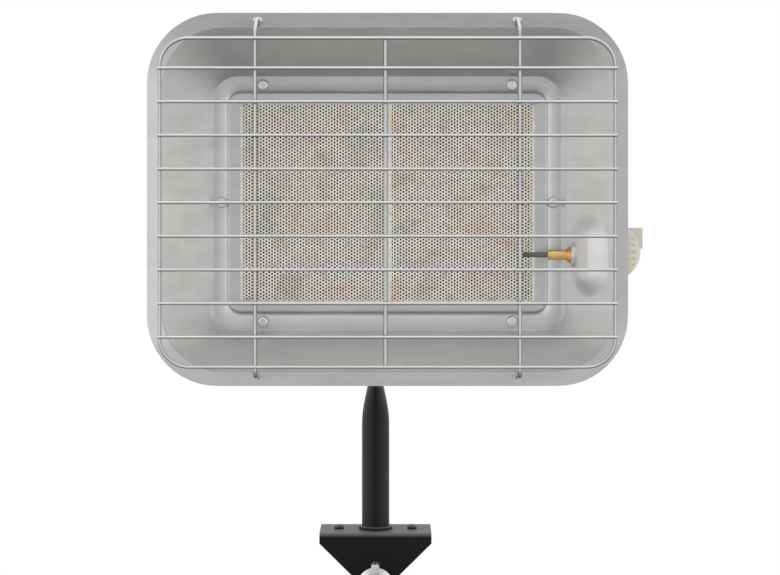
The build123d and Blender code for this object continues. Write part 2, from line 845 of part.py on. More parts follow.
def tile_support():
    """Angle frame inside the box, whose ledge carries the seal and the tiles."""
    outer_x = box_half_x - box_sheet
    outer_z = box_half_z - box_sheet
    ledge_y = tile_face_y + tile_thickness + gasket_under
    corner = box_radius - box_sheet
    depth = box_floor_y() - ledge_y
    frame = extrude(rounded(box_floor_y(), outer_x, outer_z, corner), amount=depth)
    hollow = rounded(box_floor_y() + 1, outer_x - box_sheet, outer_z - box_sheet, corner - box_sheet)
    frame -= extrude(hollow, amount=depth + 1 - box_sheet)
    window = rounded(box_floor_y() + 1, outer_x - support_ledge, outer_z - support_ledge, corner)
    return frame - extrude(window, amount=depth + 3)


def baffle_plate():
    """Perforated plate that spreads the gas, on four tabs that reach the box's back."""
    half_x = box_half_x - 2 * box_sheet - baffle_gap
    half_z = box_half_z - 2 * box_sheet - baffle_gap
    plate = extrude(rounded(baffle_y + baffle_sheet, half_x, half_z, baffle_corner), amount=baffle_sheet)
    columns = int((half_x - baffle_hole) / baffle_pitch)
    rows = int((half_z - baffle_hole) / baffle_pitch)
    spots = [
        Pos(i * baffle_pitch, j * baffle_pitch)
        for i in range(-columns, columns + 1)
        for j in range(-rows, rows + 1)
    ]
    holes = [spot * Circle(baffle_hole / 2) for spot in spots]
    punch = front_plane(baffle_y + baffle_sheet + 1) * Sketch(children=holes)
    plate -= extrude(punch, amount=baffle_sheet + 2)
    for x in (-half_x, half_x - baffle_sheet):
        for z in (-half_z + baffle_tab_inset, half_z - baffle_tab_inset - baffle_tab):
            near = at_head(x, baffle_y, z)
            far = at_head(x + baffle_sheet, box_floor_y(), z + baffle_tab)
            plate += box_between(tuple(near), tuple(far))
    return plate


def mixer_path(start_x):
    """Centre line of the mixing tube from a place along it to its flange."""
    return FilletPolyline(
        at_head(start_x, valve_y, mixer_z),
        at_head(mixer_end_x, valve_y, mixer_z),
        at_head(mixer_end_x, box_back_y + mixer_gasket_sheet, mixer_z),
        radius=mixer_bend * 0.99,
    )


def mixing_tube():
    """Flared tube that draws in air round the injector, bent into the box's back."""
    outer = mixer_diameter / 2
    path = mixer_path(mixer_neck_x + 1)
    start = at_head(mixer_neck_x, valve_y, mixer_z)
    mouth = at_head(mixer_mouth_x, valve_y, mixer_z)
    opening = Plane(start + Vector(1, 0, 0), z_dir=(-1, 0, 0))
    tube = sweep(opening * Circle(outer), path=path)
    bore = sweep(opening * Circle(outer - mixer_wall), path=path)
    inner = outer - mixer_wall + join_step
    tube += taper(start, mouth, outer + join_step, mixer_mouth_diameter / 2)
    bore += taper(start, mouth, inner, mixer_mouth_diameter / 2 - mixer_wall)
    flange_y = box_back_y + mixer_gasket_sheet
    plane = front_plane(flange_y + mixer_flange_sheet, head_x + mixer_end_x, head_z + mixer_z)
    flange = RectangleRounded(mixer_flange_x, mixer_flange_z, mixer_flange_corner)
    tube += extrude(plane * flange, amount=mixer_flange_sheet)
    bore += rod(
        at_head(mixer_end_x, flange_y + mixer_flange_sheet, mixer_z),
        at_head(mixer_end_x, flange_y - 1, mixer_z),
        inner,
    )
    for foot in mixer_stud_points():
        bore += rod(foot, foot + Vector(0, 5, 0), stud_m4 / 2 + hole_gap)
    return tube - bore


def mixer_gasket():
    """Gasket under the mixing tube's flange."""
    plane = front_plane(box_back_y + mixer_gasket_sheet, head_x + mixer_end_x, head_z + mixer_z)
    sheet_piece = plane * RectangleRounded(mixer_flange_x, mixer_flange_z, mixer_flange_corner)
    sheet_piece -= plane * Circle(mixer_diameter / 2 - mixer_wall)
    for side in (-1, 1):
        sheet_piece -= plane * Pos(0, side * mixer_stud_spread) * Circle(stud_m4 / 2 + hole_gap)
    return extrude(sheet_piece, amount=mixer_gasket_sheet)


def box_nuts():
    """Four nuts on the studs of the mixing tube and the valve bracket."""
    mixer_lift = Vector(0, mixer_gasket_sheet + mixer_flange_sheet, 0)
    panel_lift = Vector(0, panel_sheet, 0)
    seats = [foot + mixer_lift for foot in mixer_stud_points()]
    seats += [foot + panel_lift for foot in panel_stud_points()]
    return [nut(seat, seat + Vector(0, nut_m4_height, 0), nut_m4_flats, stud_m4) for seat in seats]


def on_valve(x, end_x, radius):
    """Round bar on the valve's axis between two places from the head's centre."""
    return rod(at_head(x, valve_y, valve_z), at_head(end_x, valve_y, valve_z), radius)


def valve_bracket():
    """Angle on the box's back whose panel holds the valve's neck."""
    low = valve_z - panel_height / 2
    leg = box_between(
        tuple(at_head(panel_left_x, box_back_y, low)),
        tuple(at_head(panel_x + panel_sheet, box_back_y + panel_sheet, low + panel_height)),
    )
    panel = box_between(
        tuple(at_head(panel_x, box_back_y, low)),
        tuple(at_head(panel_x + panel_sheet, panel_back_y, low + panel_height)),
    )
    bracket = leg + panel - on_valve(panel_x - 1, panel_x + 5, valve_neck_diameter / 2 + hole_gap)
    for foot in panel_stud_points():
        bracket -= rod(foot, foot + Vector(0, 5, 0), stud_m4 / 2 + hole_gap)
    return bracket


def valve_body():
    """Turned and drilled body, with a threaded neck and bosses for the inlet and the elbow."""
    radius = valve_diameter / 2
    neck_end = panel_x + valve_neck_length
    body = on_valve(valve_left_x, panel_x, radius)
    body = chamfer(body.edges().filter_by(GeomType.CIRCLE), 1.0)
    body += on_valve(panel_x, neck_end, valve_neck_diameter / 2)
    centre = at_head(inlet_x, valve_y, valve_z)
    body += rod(centre, centre - Vector(0, 0, radius + inlet_boss_height), inlet_boss_diameter / 2)
    body += rod(centre, centre + Vector(0, 0, radius + elbow_boss_height), elbow_boss / 2)
    body -= on_valve(neck_end - valve_bore_depth, neck_end + 1, valve_neck_bore / 2)
    return body


def panel_nut():
    """Nut that holds the valve's neck in the panel."""
    start = at_head(panel_x + panel_sheet, valve_y, valve_z)
    end = at_head(panel_x + panel_sheet + panel_nut_height, valve_y, valve_z)
    return nut(start, end, panel_nut_flats, valve_neck_diameter)


def magnet_unit():
    """Housing of the flame failure magnet on the valve's left end."""
    cap = on_valve(magnet_left_x, valve_left_x, magnet_diameter / 2)
    return chamfer(cap.edges().sort_by(Axis.X)[0], 1.5)


def thermocouple_union():
    """Union nut of the lead, on the magnet's housing."""
    start = at_head(magnet_left_x - union_length, valve_y, valve_z)
    end = at_head(magnet_left_x, valve_y, valve_z)
    return nut(end, start, union_flats, lead_diameter)


def gas_inlet():
    """Hose nipple with a hexagon and a left-hand thread, pointing down."""
    top = at_head(inlet_x, valve_y, valve_z - valve_diameter / 2 - inlet_boss_height)
    seat = top - Vector(0, 0, inlet_hex_height)
    end = seat - Vector(0, 0, inlet_thread_length)
    nipple = hexagon(top, seat, inlet_hex_flats) + rod(seat, end, inlet_thread / 2)
    nipple = chamfer(nipple.faces().sort_by(Axis.Z)[0].edges(), 1.0)
    return nipple - rod(top + Vector(0, 0, 1), end - Vector(0, 0, 1), inlet_bore / 2)


def elbow_bottom():
    """Height of the elbow's underside from the head's centre."""
    return valve_z + valve_diameter / 2 + elbow_boss_height


def injector_holder():
    """Elbow block on the valve that turns the gas towards the mixing tube."""
    half = elbow_width / 2
    near = at_head(inlet_x - half, valve_y - half, elbow_bottom())
    far = at_head(inlet_x + half, valve_y + half, mixer_z + elbow_top)
    block = box_between(tuple(near), tuple(far))
    block = chamfer(block.edges().filter_by(Axis.Z), elbow_chamfer)
    hole_end = at_head(inlet_x, valve_y, mixer_z)
    return block - rod(at_head(inlet_x - half - 1, valve_y, mixer_z), hole_end, injector_hole)


def injector():
    """Brass jet that points into the mixing tube."""
    face = inlet_x - elbow_width / 2
    neck = face - injector_hex
    jet = hexagon(at_head(neck, valve_y, mixer_z), at_head(face, valve_y, mixer_z), injector_flats)
    tip = at_head(neck - injector_nose, valve_y, mixer_z)
    root = at_head(neck, valve_y, mixer_z)
    jet += taper(root, tip, injector_nose_diameter / 2, injector_nose_diameter / 3)
    bore = injector_hole / 2
    return jet - rod(tip - Vector(1, 0, 0), at_head(face + 1, valve_y, mixer_z), bore)


def valve_stem():
    """Spindle that is pushed and turned by the knob."""
    return on_valve(stem_start_x, stem_end_x, stem_diameter / 2)


def spring_cup():
    """Disc on the spindle that the spring pushes on."""
    cup = on_valve(cup_x, cup_x + cup_sheet, cup_diameter / 2)
    return cup - on_valve(cup_x - 1, cup_x + 3, stem_diameter / 2 + turn_gap)


def valve_spring():
    """Return spring behind the cup, drawn at its pushed length."""
    neck_end = panel_x + valve_neck_length
    room = cup_x - neck_end - stem_push - 0.4
    pitch = (room - spring_wire) / spring_turns
    start_x = cup_x - 0.05 - room + spring_wire / 2
    coil = Helix(pitch=pitch, height=pitch * spring_turns, radius=spring_diameter / 2)
    section = Plane(coil @ 0, z_dir=coil % 0) * Circle(spring_wire / 2)
    turns = sweep(section, path=coil, is_frenet=True)
    axis = Plane(at_head(start_x, valve_y, valve_z), z_dir=(1, 0, 0))
    return axis * turns


def control_knob():
    """Fluted knob with a domed end, a hub on the spindle and a pointer across its top."""
    radius = knob_diameter / 2
    end = knob_end_diameter / 2
    top = knob_length + knob_dome
    side = Polyline((0, 0), (radius - knob_edge, 0), (radius, knob_edge), (end, knob_length))
    sphere = (end**2 + knob_dome**2) / (2 * knob_dome)
    lean = math.asin(end / sphere) / 2
    middle = (sphere * math.sin(lean), top - sphere * (1 - math.cos(lean)))
    dome = ThreePointArc((end, knob_length), middle, (0, top))
    outline = side + dome + Line((0, top), (0, 0))
    knob = revolve(Plane.XZ * make_face(outline), axis=Axis.Z)
    flat = (Align.CENTER, Align.CENTER, Align.MIN)
    spots = PolarLocations(radius + knob_flute_out, knob_flutes)
    grooves = Sketch(children=[spot * Circle(knob_flute) for spot in spots])
    knob -= extrude(Plane.XY.offset(knob_foot) * grooves, amount=top)
    hollow = Pos(0, 0, -1) * Cylinder(radius - knob_wall - 1, knob_length - 1, align=flat)
    hollow -= Pos(0, 0, -2) * Cylinder(knob_hub / 2, knob_length + 4, align=flat)
    knob -= hollow
    bore_depth = stem_end_x - knob_x + thread_gap
    knob -= Pos(0, 0, -1) * Cylinder(stem_diameter / 2 + thread_gap, bore_depth + 1, align=flat)
    pointer_tall = top + pointer_reach - bore_depth - 2 * thread_gap
    bar = Box(radius - pointer_inset, pointer_width, pointer_tall, align=flat)
    bar = fillet(bar.edges().filter_by(Axis.Z), pointer_corner)
    knob += Pos((radius - pointer_inset) / 2 + 2, 0, bore_depth + 2 * thread_gap) * bar
    seat = Plane(at_head(knob_x, valve_y, valve_z), x_dir=(0, 0, 1), z_dir=(1, 0, 0))
    return seat * knob


def thermocouple_holder():
    """Brass holder: tube in front, flare on the seat, thread through the wall."""
    flare = seat_x - holder_flare_length
    body = along_thermo(flare - holder_tube_length, holder_diameter / 2, flare)
    body = chamfer(body.edges().sort_by(Axis.X)[0], 0.5)
    body += taper(
        at_head(flare, thermo_y, boss_z),
        at_head(seat_x, thermo_y, boss_z),
        holder_diameter / 2,
        holder_flare_diameter / 2,
    )
    body += along_thermo(seat_x, holder_thread_diameter / 2, seat_x + holder_thread_length)
    return body - along_thermo(seat_x - 30, probe_diameter / 2 + thread_gap, seat_x + 30)


def thermocouple_nut():
    """Nut behind the wall that holds the thermocouple's holder."""
    start = at_head(seat_x + sheet, thermo_y, boss_z)
    end = at_head(seat_x + sheet + thermo_nut_height, thermo_y, boss_z)
    return nut(start, end, thermo_nut_flats, holder_thread_diameter)


def probe_tip_x():
    """Where the probe ends over the tiles, from the head's centre."""
    return seat_x - holder_flare_length - holder_tube_length - probe_reach


def probe_tail_x():
    """Where the lead meets the probe, from the head's centre."""
    return seat_x + holder_thread_length + probe_tail


def thermocouple_probe():
    """Steel sheath with a round tip."""
    rod_piece = along_thermo(probe_tip_x(), probe_diameter / 2, probe_tail_x())
    return fillet(rod_piece.edges().sort_by(Axis.X)[0], probe_diameter / 2 - 0.1)


def lead_route():
    """Points that the lead follows, from the probe's tail to the union nut."""
    tail = at_head(probe_tail_x(), thermo_y, boss_z)
    union = at_head(magnet_left_x - union_length, valve_y, valve_z)
    from_tail = [(0, 0, 0), (11, 0, 0), (15, 8, -12), (10, 21, -25), (-2, 35, -31), (-17, 49, -33)]
    from_union = [(20, -6, -31.5), (7, 0, -27.5), (-7, 0, -27), (-20, 0, -21)]
    from_union += [(-25, 0, -9), (-17, 0, 0), (0, 0, 0)]
    points = [tail + Vector(spot) * lead_step for spot in from_tail]
    return points + [union + Vector(spot) * lead_step for spot in from_union]


def thermocouple_lead():
    """Copper lead along straight runs joined by tangent arcs."""
    points = lead_route()
    radii = []
    for before, here, after in zip(points, points[1:], points[2:]):
        turn = math.radians((here - before).get_angle(after - here))
        shorter = min((here - before).length, (after - here).length)
        radii.append(0.45 * shorter / math.tan(turn / 2))
    path = FilletPolyline(*points, radius=radii)
    section = Plane(points[0], z_dir=points[1] - points[0]) * Circle(lead_diameter / 2)
    return sweep(section, path=path)


def guard_ring():
    """Closed ring of the guard."""
    outline = front_plane(guard_y) * RectangleRounded(2 * guard_half_x, 2 * guard_half_z, guard_radius)
    path = outline.wire()
    section = Plane(path @ 0, z_dir=path % 0) * Circle(guard_wire / 2)
    return sweep(section, path=path)


def guard_bars():
    """Level wires across the front of the ring."""
    y = guard_y - guard_wire
    reach = guard_half_x + guard_wire / 2
    middle = (guard_bars_count - 1) / 2
    heights = [(i - middle) * guard_bar_pitch for i in range(guard_bars_count)]
    return [rod(at_head(-reach, y, z), at_head(reach, y, z), guard_wire / 2) for z in heights]


def guard_uprights():
    """Upright wires behind the ring; the outer two run on to the rim as legs."""
    y = guard_y + guard_wire / 2 + upright_wire / 2
    wires = []
    for side in (-1, 1):
        x = side * upright_x
        path = FilletPolyline(
            at_head(x, leg_end_y, leg_top_z),
            at_head(x, y + leg_turn_y, leg_top_z),
            at_head(x, y, guard_half_z + leg_turn_z),
            at_head(x, y, -guard_half_z - leg_turn_z),
            at_head(x, y + leg_turn_y, leg_bottom_z),
            at_head(x, leg_end_y, leg_bottom_z),
            radius=leg_bend,
        )
        section = Plane(path @ 0, z_dir=path % 0) * Circle(upright_wire / 2)
        wires.append(sweep(section, path=path))
    reach = guard_half_z + guard_wire / 2
    x = upright_middle_x
    wires.append(rod(at_head(x, y, -reach), at_head(x, y, reach), upright_wire / 2))
    return wires


def guard_eyelets():
    """Four discs on the rim that the guard's legs pass through."""
    discs = []
    for x, z in guard_feet():
        y, normal = rim_point(z)
        foot = at_head(x, y, z)
        disc = rod(foot, foot + normal * eyelet_height, eyelet_diameter / 2)
        outer = disc.edges().sort_by(Axis(tuple(foot), tuple(normal)))[-1]
        disc = fillet(outer, eyelet_height / 3)
        hole = upright_wire / 2 + hole_gap
        discs.append(disc - rod(at_head(x, y - 9, z), at_head(x, y + 9, z), hole))
    return discs


def save(name, shape):
    """Write one piece, or one group of separate pieces, to its own file."""
    if isinstance(shape, list):
        solids = [solid for piece in shape for solid in piece.solids()]
    else:
        solids = shape.solids()
    piece = solids[0] if len(solids) == 1 else Compound(children=solids)
    export_step(piece, f"parts/{name}.step")


makers = [
    clamp_bracket,
    foot_flange,
    foot_screws,
    tube_collar,
    stand_tube,
    clamp_weld_nut,
    clamp_stud,
    clamp_wing,
    clamp_pad,
    tilt_bolt,
    tilt_washer,
    tilt_wing_nut,
    tilt_bracket,
    tilt_bracket_nuts,
    reflector,
    burner_box,
    burner_screws,
    burner_nuts,
    tile_frame,
    tile_joint,
    tile_gasket,
    tile_support,
    baffle_plate,
    mixing_tube,
    mixer_gasket,
    box_nuts,
    valve_bracket,
    valve_body,
    panel_nut,
    magnet_unit,
    thermocouple_union,
    gas_inlet,
    injector_holder,
    injector,
    valve_stem,
    spring_cup,
    valve_spring,
    control_knob,
    thermocouple_holder,
    thermocouple_nut,
    thermocouple_probe,
    thermocouple_lead,
    guard_ring,
    guard_bars,
    guard_uprights,
    guard_eyelets,
]

os.makedirs("parts", exist_ok=True)
for maker in makers:
    save(maker.__name__, maker())
save("tile_left", tile(-1))
save("tile_right", tile(1))
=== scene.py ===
"""Gas radiant heater: surfaces, finer shapes, studio and camera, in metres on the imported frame."""

import json
import logging
import math
from dataclasses import dataclass, replace
from enum import Enum
from typing import Sequence

import bmesh
import bpy
from mathutils import Matrix, Vector


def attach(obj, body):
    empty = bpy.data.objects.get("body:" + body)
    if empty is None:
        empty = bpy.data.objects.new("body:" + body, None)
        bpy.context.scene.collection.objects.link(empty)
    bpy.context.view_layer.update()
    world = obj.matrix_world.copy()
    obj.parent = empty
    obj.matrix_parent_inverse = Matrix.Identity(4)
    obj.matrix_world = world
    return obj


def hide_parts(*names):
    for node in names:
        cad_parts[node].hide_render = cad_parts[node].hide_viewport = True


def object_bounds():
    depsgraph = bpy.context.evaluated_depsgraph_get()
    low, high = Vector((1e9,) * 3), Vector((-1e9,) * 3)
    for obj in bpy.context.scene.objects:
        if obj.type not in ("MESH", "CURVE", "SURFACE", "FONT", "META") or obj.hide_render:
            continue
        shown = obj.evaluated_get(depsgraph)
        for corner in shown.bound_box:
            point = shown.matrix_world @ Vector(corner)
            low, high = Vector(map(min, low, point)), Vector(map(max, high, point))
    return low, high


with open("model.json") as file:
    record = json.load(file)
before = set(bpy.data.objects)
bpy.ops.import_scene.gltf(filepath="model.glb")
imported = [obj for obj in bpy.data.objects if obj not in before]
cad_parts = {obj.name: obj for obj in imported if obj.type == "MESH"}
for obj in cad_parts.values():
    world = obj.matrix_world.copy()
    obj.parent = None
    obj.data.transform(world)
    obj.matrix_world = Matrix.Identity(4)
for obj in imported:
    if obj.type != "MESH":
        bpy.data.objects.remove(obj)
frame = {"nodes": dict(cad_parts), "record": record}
CAD_BOX = [list(corner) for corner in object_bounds()]

logging.basicConfig(level=logging.INFO, format="%(name)s: %(message)s")
LOG = logging.getLogger("heater")

MM = 0.001

Colour = tuple[float, float, float]
Place = tuple[float, float, float]
Span = tuple[float, float]
Stops = tuple[tuple[float, Colour], ...]
Socket = bpy.types.NodeSocket
Ring = list[bmesh.types.BMVert]

WHITE: Colour = (1.0, 1.0, 1.0)
MOTTLE: Span = (0.3, 0.7)
GRAIN_DEPTH = 0.0002


class Body(Enum):
    """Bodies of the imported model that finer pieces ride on."""

    HEAD = "head"
    KNOB = "knob"


class Side(Enum):
    """Side of the head, as the sign of its X."""

    LEFT = -1
    RIGHT = 1


class Slot(Enum):
    """Material slots of the record."""

    BLACK = "black_steel"
    ZINC = "zinc_steel"
    DISH = "dish_steel"
    BOX = "box_steel"
    TILE = "tile_ceramic"
    CEMENT = "tile_cement"
    SEAL = "seal_fibre"
    GUARD = "guard_chrome"
    BRASS = "valve_brass"
    PROBE = "probe_steel"
    LEAD = "lead_copper"
    KNOB = "knob_plastic"


@dataclass(frozen=True)
class HeadPlace:
    """Where the head sits and how deep its dish and tiles lie, in millimetres."""

    x: float = 8.1
    z: float = 227.0
    tile_y: float = -95.0
    band_y: float = -96.5
    ridge_y: float = -103.0
    crest_y: float = -147.0
    rim_y: float = -134.0
    sheet: float = 0.8
    boss_z: float = -32.6
    seat_x: float = 114.2
    seat_y: float = -113.0

    def point(self, x: float, y: float, z: float) -> Vector:
        """A point in metres from millimetres measured at the head's centre."""
        return Vector(((self.x + x) * MM, y * MM, (self.z + z) * MM))

    def facing_right(self, x: float, y: float, z: float) -> Matrix:
        """Frame at a point of the head whose Z runs to the right and whose X runs up.

        Args:
            x: Place to the right of the head's centre.
            y: Place from front to back.
            z: Place above the head's centre.

        Returns:
            The frame's matrix in metres.
        """
        turned = Matrix(((0, 0, 1), (0, -1, 0), (1, 0, 0))).to_4x4()
        return Matrix.Translation(self.point(x, y, z)) @ turned


HEAD = HeadPlace()


class NodeSketch:
    """Small helper that adds and links shader nodes of one material."""

    def __init__(self, name: str) -> None:
        """Start a material with a Principled shader.

        Args:
            name: Name of the material.
        """
        self.material = bpy.data.materials.new(name)
        self.material.use_nodes = True
        self.tree = self.material.node_tree
        self.shader = self.tree.nodes["Principled BSDF"]
        self.coordinates = self.tree.nodes.new("ShaderNodeTexCoord")

    def add(self, kind: str, **values: object) -> bpy.types.Node:
        """Add a node.

        Args:
            kind: Node type without its ShaderNode prefix.
            values: Properties, or input values by socket name with spaces as underscores.

        Returns:
            The new node.
        """
        node = self.tree.nodes.new("ShaderNode" + kind)
        for key, value in values.items():
            if hasattr(node, key):
                setattr(node, key, value)
            else:
                node.inputs[key.replace("_", " ")].default_value = value
        return node

    def link(self, source: Socket, target: Socket) -> None:
        """Join an output to an input."""
        self.tree.links.new(source, target)

    def parts(self, name: str) -> bpy.types.Node:
        """Split one of the object's own coordinates.

        Args:
            name: Coordinate to split, Normal or Object.

        Returns:
            The node with its X, Y and Z outputs.
        """
        node = self.add("SeparateXYZ")
        self.link(self.coordinates.outputs[name], node.inputs["Vector"])
        return node

    def noise(self, scale: float, detail: float = 2.0, stretch: Place = (1.0, 1.0, 1.0)) -> Socket:
        """Noise on the object's own coordinates.

        Args:
            scale: Noise scale, per metre.
            detail: Detail levels.
            stretch: Stretch of the coordinates along each axis.

        Returns:
            The noise factor.
        """
        mapping = self.add("Mapping", Scale=stretch)
        self.link(self.coordinates.outputs["Object"], mapping.inputs["Vector"])
        node = self.add("TexNoise", Scale=scale, Detail=detail)
        self.link(mapping.outputs["Vector"], node.inputs["Vector"])
        return node.outputs["Fac"]

    def ramp(self, factor: Socket, stops: Stops) -> Socket:
        """Colour ramp over a factor.

        Args:
            factor: Factor from 0 to 1.
            stops: Places and colours.

        Returns:
            The colour.
        """
        node = self.add("ValToRGB")
        elements = node.color_ramp.elements
        while len(elements) < len(stops):
            elements.new(0.5)
        for element, (place, colour) in zip(elements, stops):
            element.position = place
            element.color = (*colour, 1.0)
        self.link(factor, node.inputs["Fac"])
        return node.outputs["Color"]

    def mottle(self, scale: float, detail: float, low: Colour, high: Colour) -> Socket:
        """Two tones, mottled by noise.

        Args:
            scale: Noise scale, per metre.
            detail: Detail levels.
            low: Tone where the noise is low.
            high: Tone where the noise is high.

        Returns:
            The colour.
        """
        return self.ramp(self.noise(scale, detail), ((MOTTLE[0], low), (MOTTLE[1], high)))

    def remap(self, value: Socket, source: Span = (0.0, 1.0), target: Span = (0.0, 1.0)) -> Socket:
        """Map one span of numbers onto another, held at its ends.

        Args:
            value: Number to map.
            source: Span that it comes from.
            target: Span that it goes to.

        Returns:
            The mapped number.
        """
        node = self.add(
            "MapRange", From_Min=source[0], From_Max=source[1], To_Min=target[0], To_Max=target[1]
        )
        self.link(value, node.inputs["Value"])
        return node.outputs["Result"]

    def plain(self, colour: Colour) -> Socket:
        """One even colour.

        Args:
            colour: The colour.

        Returns:
            The colour as a socket.
        """
        node = self.add("RGB")
        node.outputs["Color"].default_value = (*colour, 1.0)
        return node.outputs["Color"]

    def mix(self, first: Socket, second: Socket, factor: Socket) -> Socket:
        """Go from one colour to another.

        Args:
            first: Colour at factor 0.
            second: Colour at factor 1.
            factor: How far to go.

        Returns:
            The mixed colour.
        """
        node = self.add("Mix", data_type="RGBA")
        self.link(factor, node.inputs["Factor"])
        self.link(first, node.inputs["A"])
        self.link(second, node.inputs["B"])
        return node.outputs["Result"]

    def multiply(self, first: Socket, second: Socket) -> Socket:
        """Darken one colour by another.

        Args:
            first: Colour to darken.
            second: Colour that darkens it.

        Returns:
            The product.
        """
        node = self.add("Mix", data_type="RGBA", blend_type="MULTIPLY", Factor=1.0)
        self.link(first, node.inputs["A"])
        self.link(second, node.inputs["B"])
        return node.outputs["Result"]

    def base(self, colour: Socket) -> None:
        """Feed a colour to the shader."""
        self.link(colour, self.shader.inputs["Base Color"])

    def roughen(self, factor: Socket, roughness: Span) -> None:
        """Vary the shader's roughness over a span by a factor."""
        self.link(self.remap(factor, target=roughness), self.shader.inputs["Roughness"])

    def bump(self, height: Socket, strength: float) -> None:
        """Feed a fine grain to the shader's normal.

        Args:
            height: Height of the grain.
            strength: Strength of the bump.
        """
        node = self.add("Bump", Strength=strength, Distance=GRAIN_DEPTH)
        self.link(height, node.inputs["Height"])
        self.link(node.outputs["Normal"], self.shader.inputs["Normal"])

    def set(self, **values: float) -> None:
        """Set even numbers on the shader's own sockets."""
        for key, value in values.items():
            self.shader.inputs[key.replace("_", " ")].default_value = value


@dataclass(frozen=True)
class Finish:
    """One finish, which builds its material once."""

    name: str

    def paint(self, sketch: NodeSketch) -> None:
        """Fill in the shader; each finish has its own."""
        raise NotImplementedError

    def material(self) -> bpy.types.Material:
        """The finish's material, made on first use.

        Returns:
            The material.
        """
        full_name = self.name + "_finish"
        known = bpy.data.materials.get(full_name)
        if known is not None:
            return known
        sketch = NodeSketch(full_name)
        self.paint(sketch)
        return sketch.material


@dataclass(frozen=True)
class MetalFinish(Finish):
    """Sheet or turned metal with faint cloudy tone and fine grain."""

    low: Colour
    high: Colour
    metallic: float
    roughness: Span
    cloud: float = 60.0
    detail: float = 3.0
    grain: float = 900.0
    bump: float = 0.03

    def paint(self, sketch: NodeSketch) -> None:
        """Mottle two tones, and vary the roughness by a finer noise.

        Args:
            sketch: Material to fill in.
        """
        sketch.base(sketch.mottle(self.cloud, self.detail, self.low, self.high))
        grain = sketch.noise(self.grain)
        sketch.roughen(grain, self.roughness)
        sketch.bump(grain, self.bump)
        sketch.set(Metallic=self.metallic)


@dataclass(frozen=True)
class PaintedLightFinish(Finish):
    """Satin metal with painted light and shade: its tone follows which way the surface faces, as on
    bent sheet or wire.
    """

    front: float
    left: float
    right: float
    up: float
    down: float
    metallic: float
    roughness: Span
    reach: float = 1.15
    specular: float = 0.5
    streak: float = 28.0
    streak_detail: float = 4.0
    streak_stretch: Place = (1.0, 1.0, 4.0)
    streak_tones: Stops = ((0.35, (0.90, 0.91, 0.92)), (0.65, WHITE))
    grain: float = 1400.0
    bump: float = 0.02

    def paint(self, sketch: NodeSketch) -> None:
        """Blend painted light and shade tones by the object's own normal, under faint rolled
        streaks.

        Args:
            sketch: Material to fill in.
        """
        normal = sketch.parts("Normal")
        # Painted light and shade: one grey for the front and one each for left, right, top and
        # underside, blended by the normal.
        tone = self.grey(sketch, self.front)
        facing_light_and_shade = (
            ("X", -1, self.left),
            ("X", 1, self.right),
            ("Z", 1, self.up),
            ("Z", -1, self.down),
        )
        for axis, sign, level in facing_light_and_shade:
            weight = sketch.remap(normal.outputs[axis], (0.0, sign / self.reach))
            tone = sketch.mix(tone, self.grey(sketch, level), weight)
        streak = sketch.noise(self.streak, self.streak_detail, self.streak_stretch)
        sketch.base(sketch.multiply(tone, sketch.ramp(streak, self.streak_tones)))
        grain = sketch.noise(self.grain)
        sketch.roughen(grain, self.roughness)
        sketch.bump(grain, self.bump)
        sketch.set(Metallic=self.metallic, Specular_IOR_Level=self.specular)

    @staticmethod
    def grey(sketch: NodeSketch, level: float) -> Socket:
        """An even grey as a socket."""
        return sketch.plain((level, level, level))


@dataclass(frozen=True)
class CeramicFinish(Finish):
    """Cream ceramic with peach and greenish blotches, and painted shade down in its holes."""

    blotch: float = 55.0
    blotch_detail: float = 7.0
    blotch_tones: Stops = (
        (0.36, (0.76, 0.76, 0.66)),
        (0.45, (0.90, 0.85, 0.75)),
        (0.53, (0.96, 0.92, 0.84)),
        (0.64, (0.93, 0.80, 0.68)),
    )
    speckle: float = 420.0
    speckle_detail: float = 3.0
    speckle_tones: Stops = ((0.38, (0.80, 0.79, 0.77)), (0.55, WHITE))
    hole_shade: Colour = (0.035, 0.024, 0.016)
    hole_shade_depths: Span = (0.15, 1.4)
    grain: float = 2500.0
    bump: float = 0.12
    roughness: float = 0.92

    def paint(self, sketch: NodeSketch) -> None:
        """Blotch and speckle the face, and paint shade in its holes that deepens with depth behind
        the face.

        Args:
            sketch: Material to fill in.
        """
        cream = sketch.ramp(sketch.noise(self.blotch, self.blotch_detail), self.blotch_tones)
        speckle = sketch.ramp(sketch.noise(self.speckle, self.speckle_detail), self.speckle_tones)
        # Painted shade in the holes: darker with depth behind the tile's face.
        mouth, floor = ((HEAD.tile_y + depth) * MM for depth in self.hole_shade_depths)
        depth = sketch.remap(sketch.parts("Object").outputs["Y"], (mouth, floor))
        sketch.base(sketch.mix(sketch.multiply(cream, speckle), sketch.plain(self.hole_shade), depth))
        sketch.bump(sketch.noise(self.grain), self.bump)
        sketch.set(Roughness=self.roughness)


@dataclass(frozen=True)
class MattFinish(Finish):
    """Matt finish with soft mottling: fibre, cement, moulded plastic or a painted floor."""

    low: Colour
    high: Colour
    roughness: float
    bump: float
    cloud: float = 90.0
    detail: float = 4.0
    grain: float = 1500.0

    def paint(self, sketch: NodeSketch) -> None:
        """Mottle two tones and roughen the surface.

        Args:
            sketch: Material to fill in.
        """
        sketch.base(sketch.mottle(self.cloud, self.detail, self.low, self.high))
        sketch.bump(sketch.noise(self.grain), self.bump)
        sketch.set(Roughness=self.roughness)


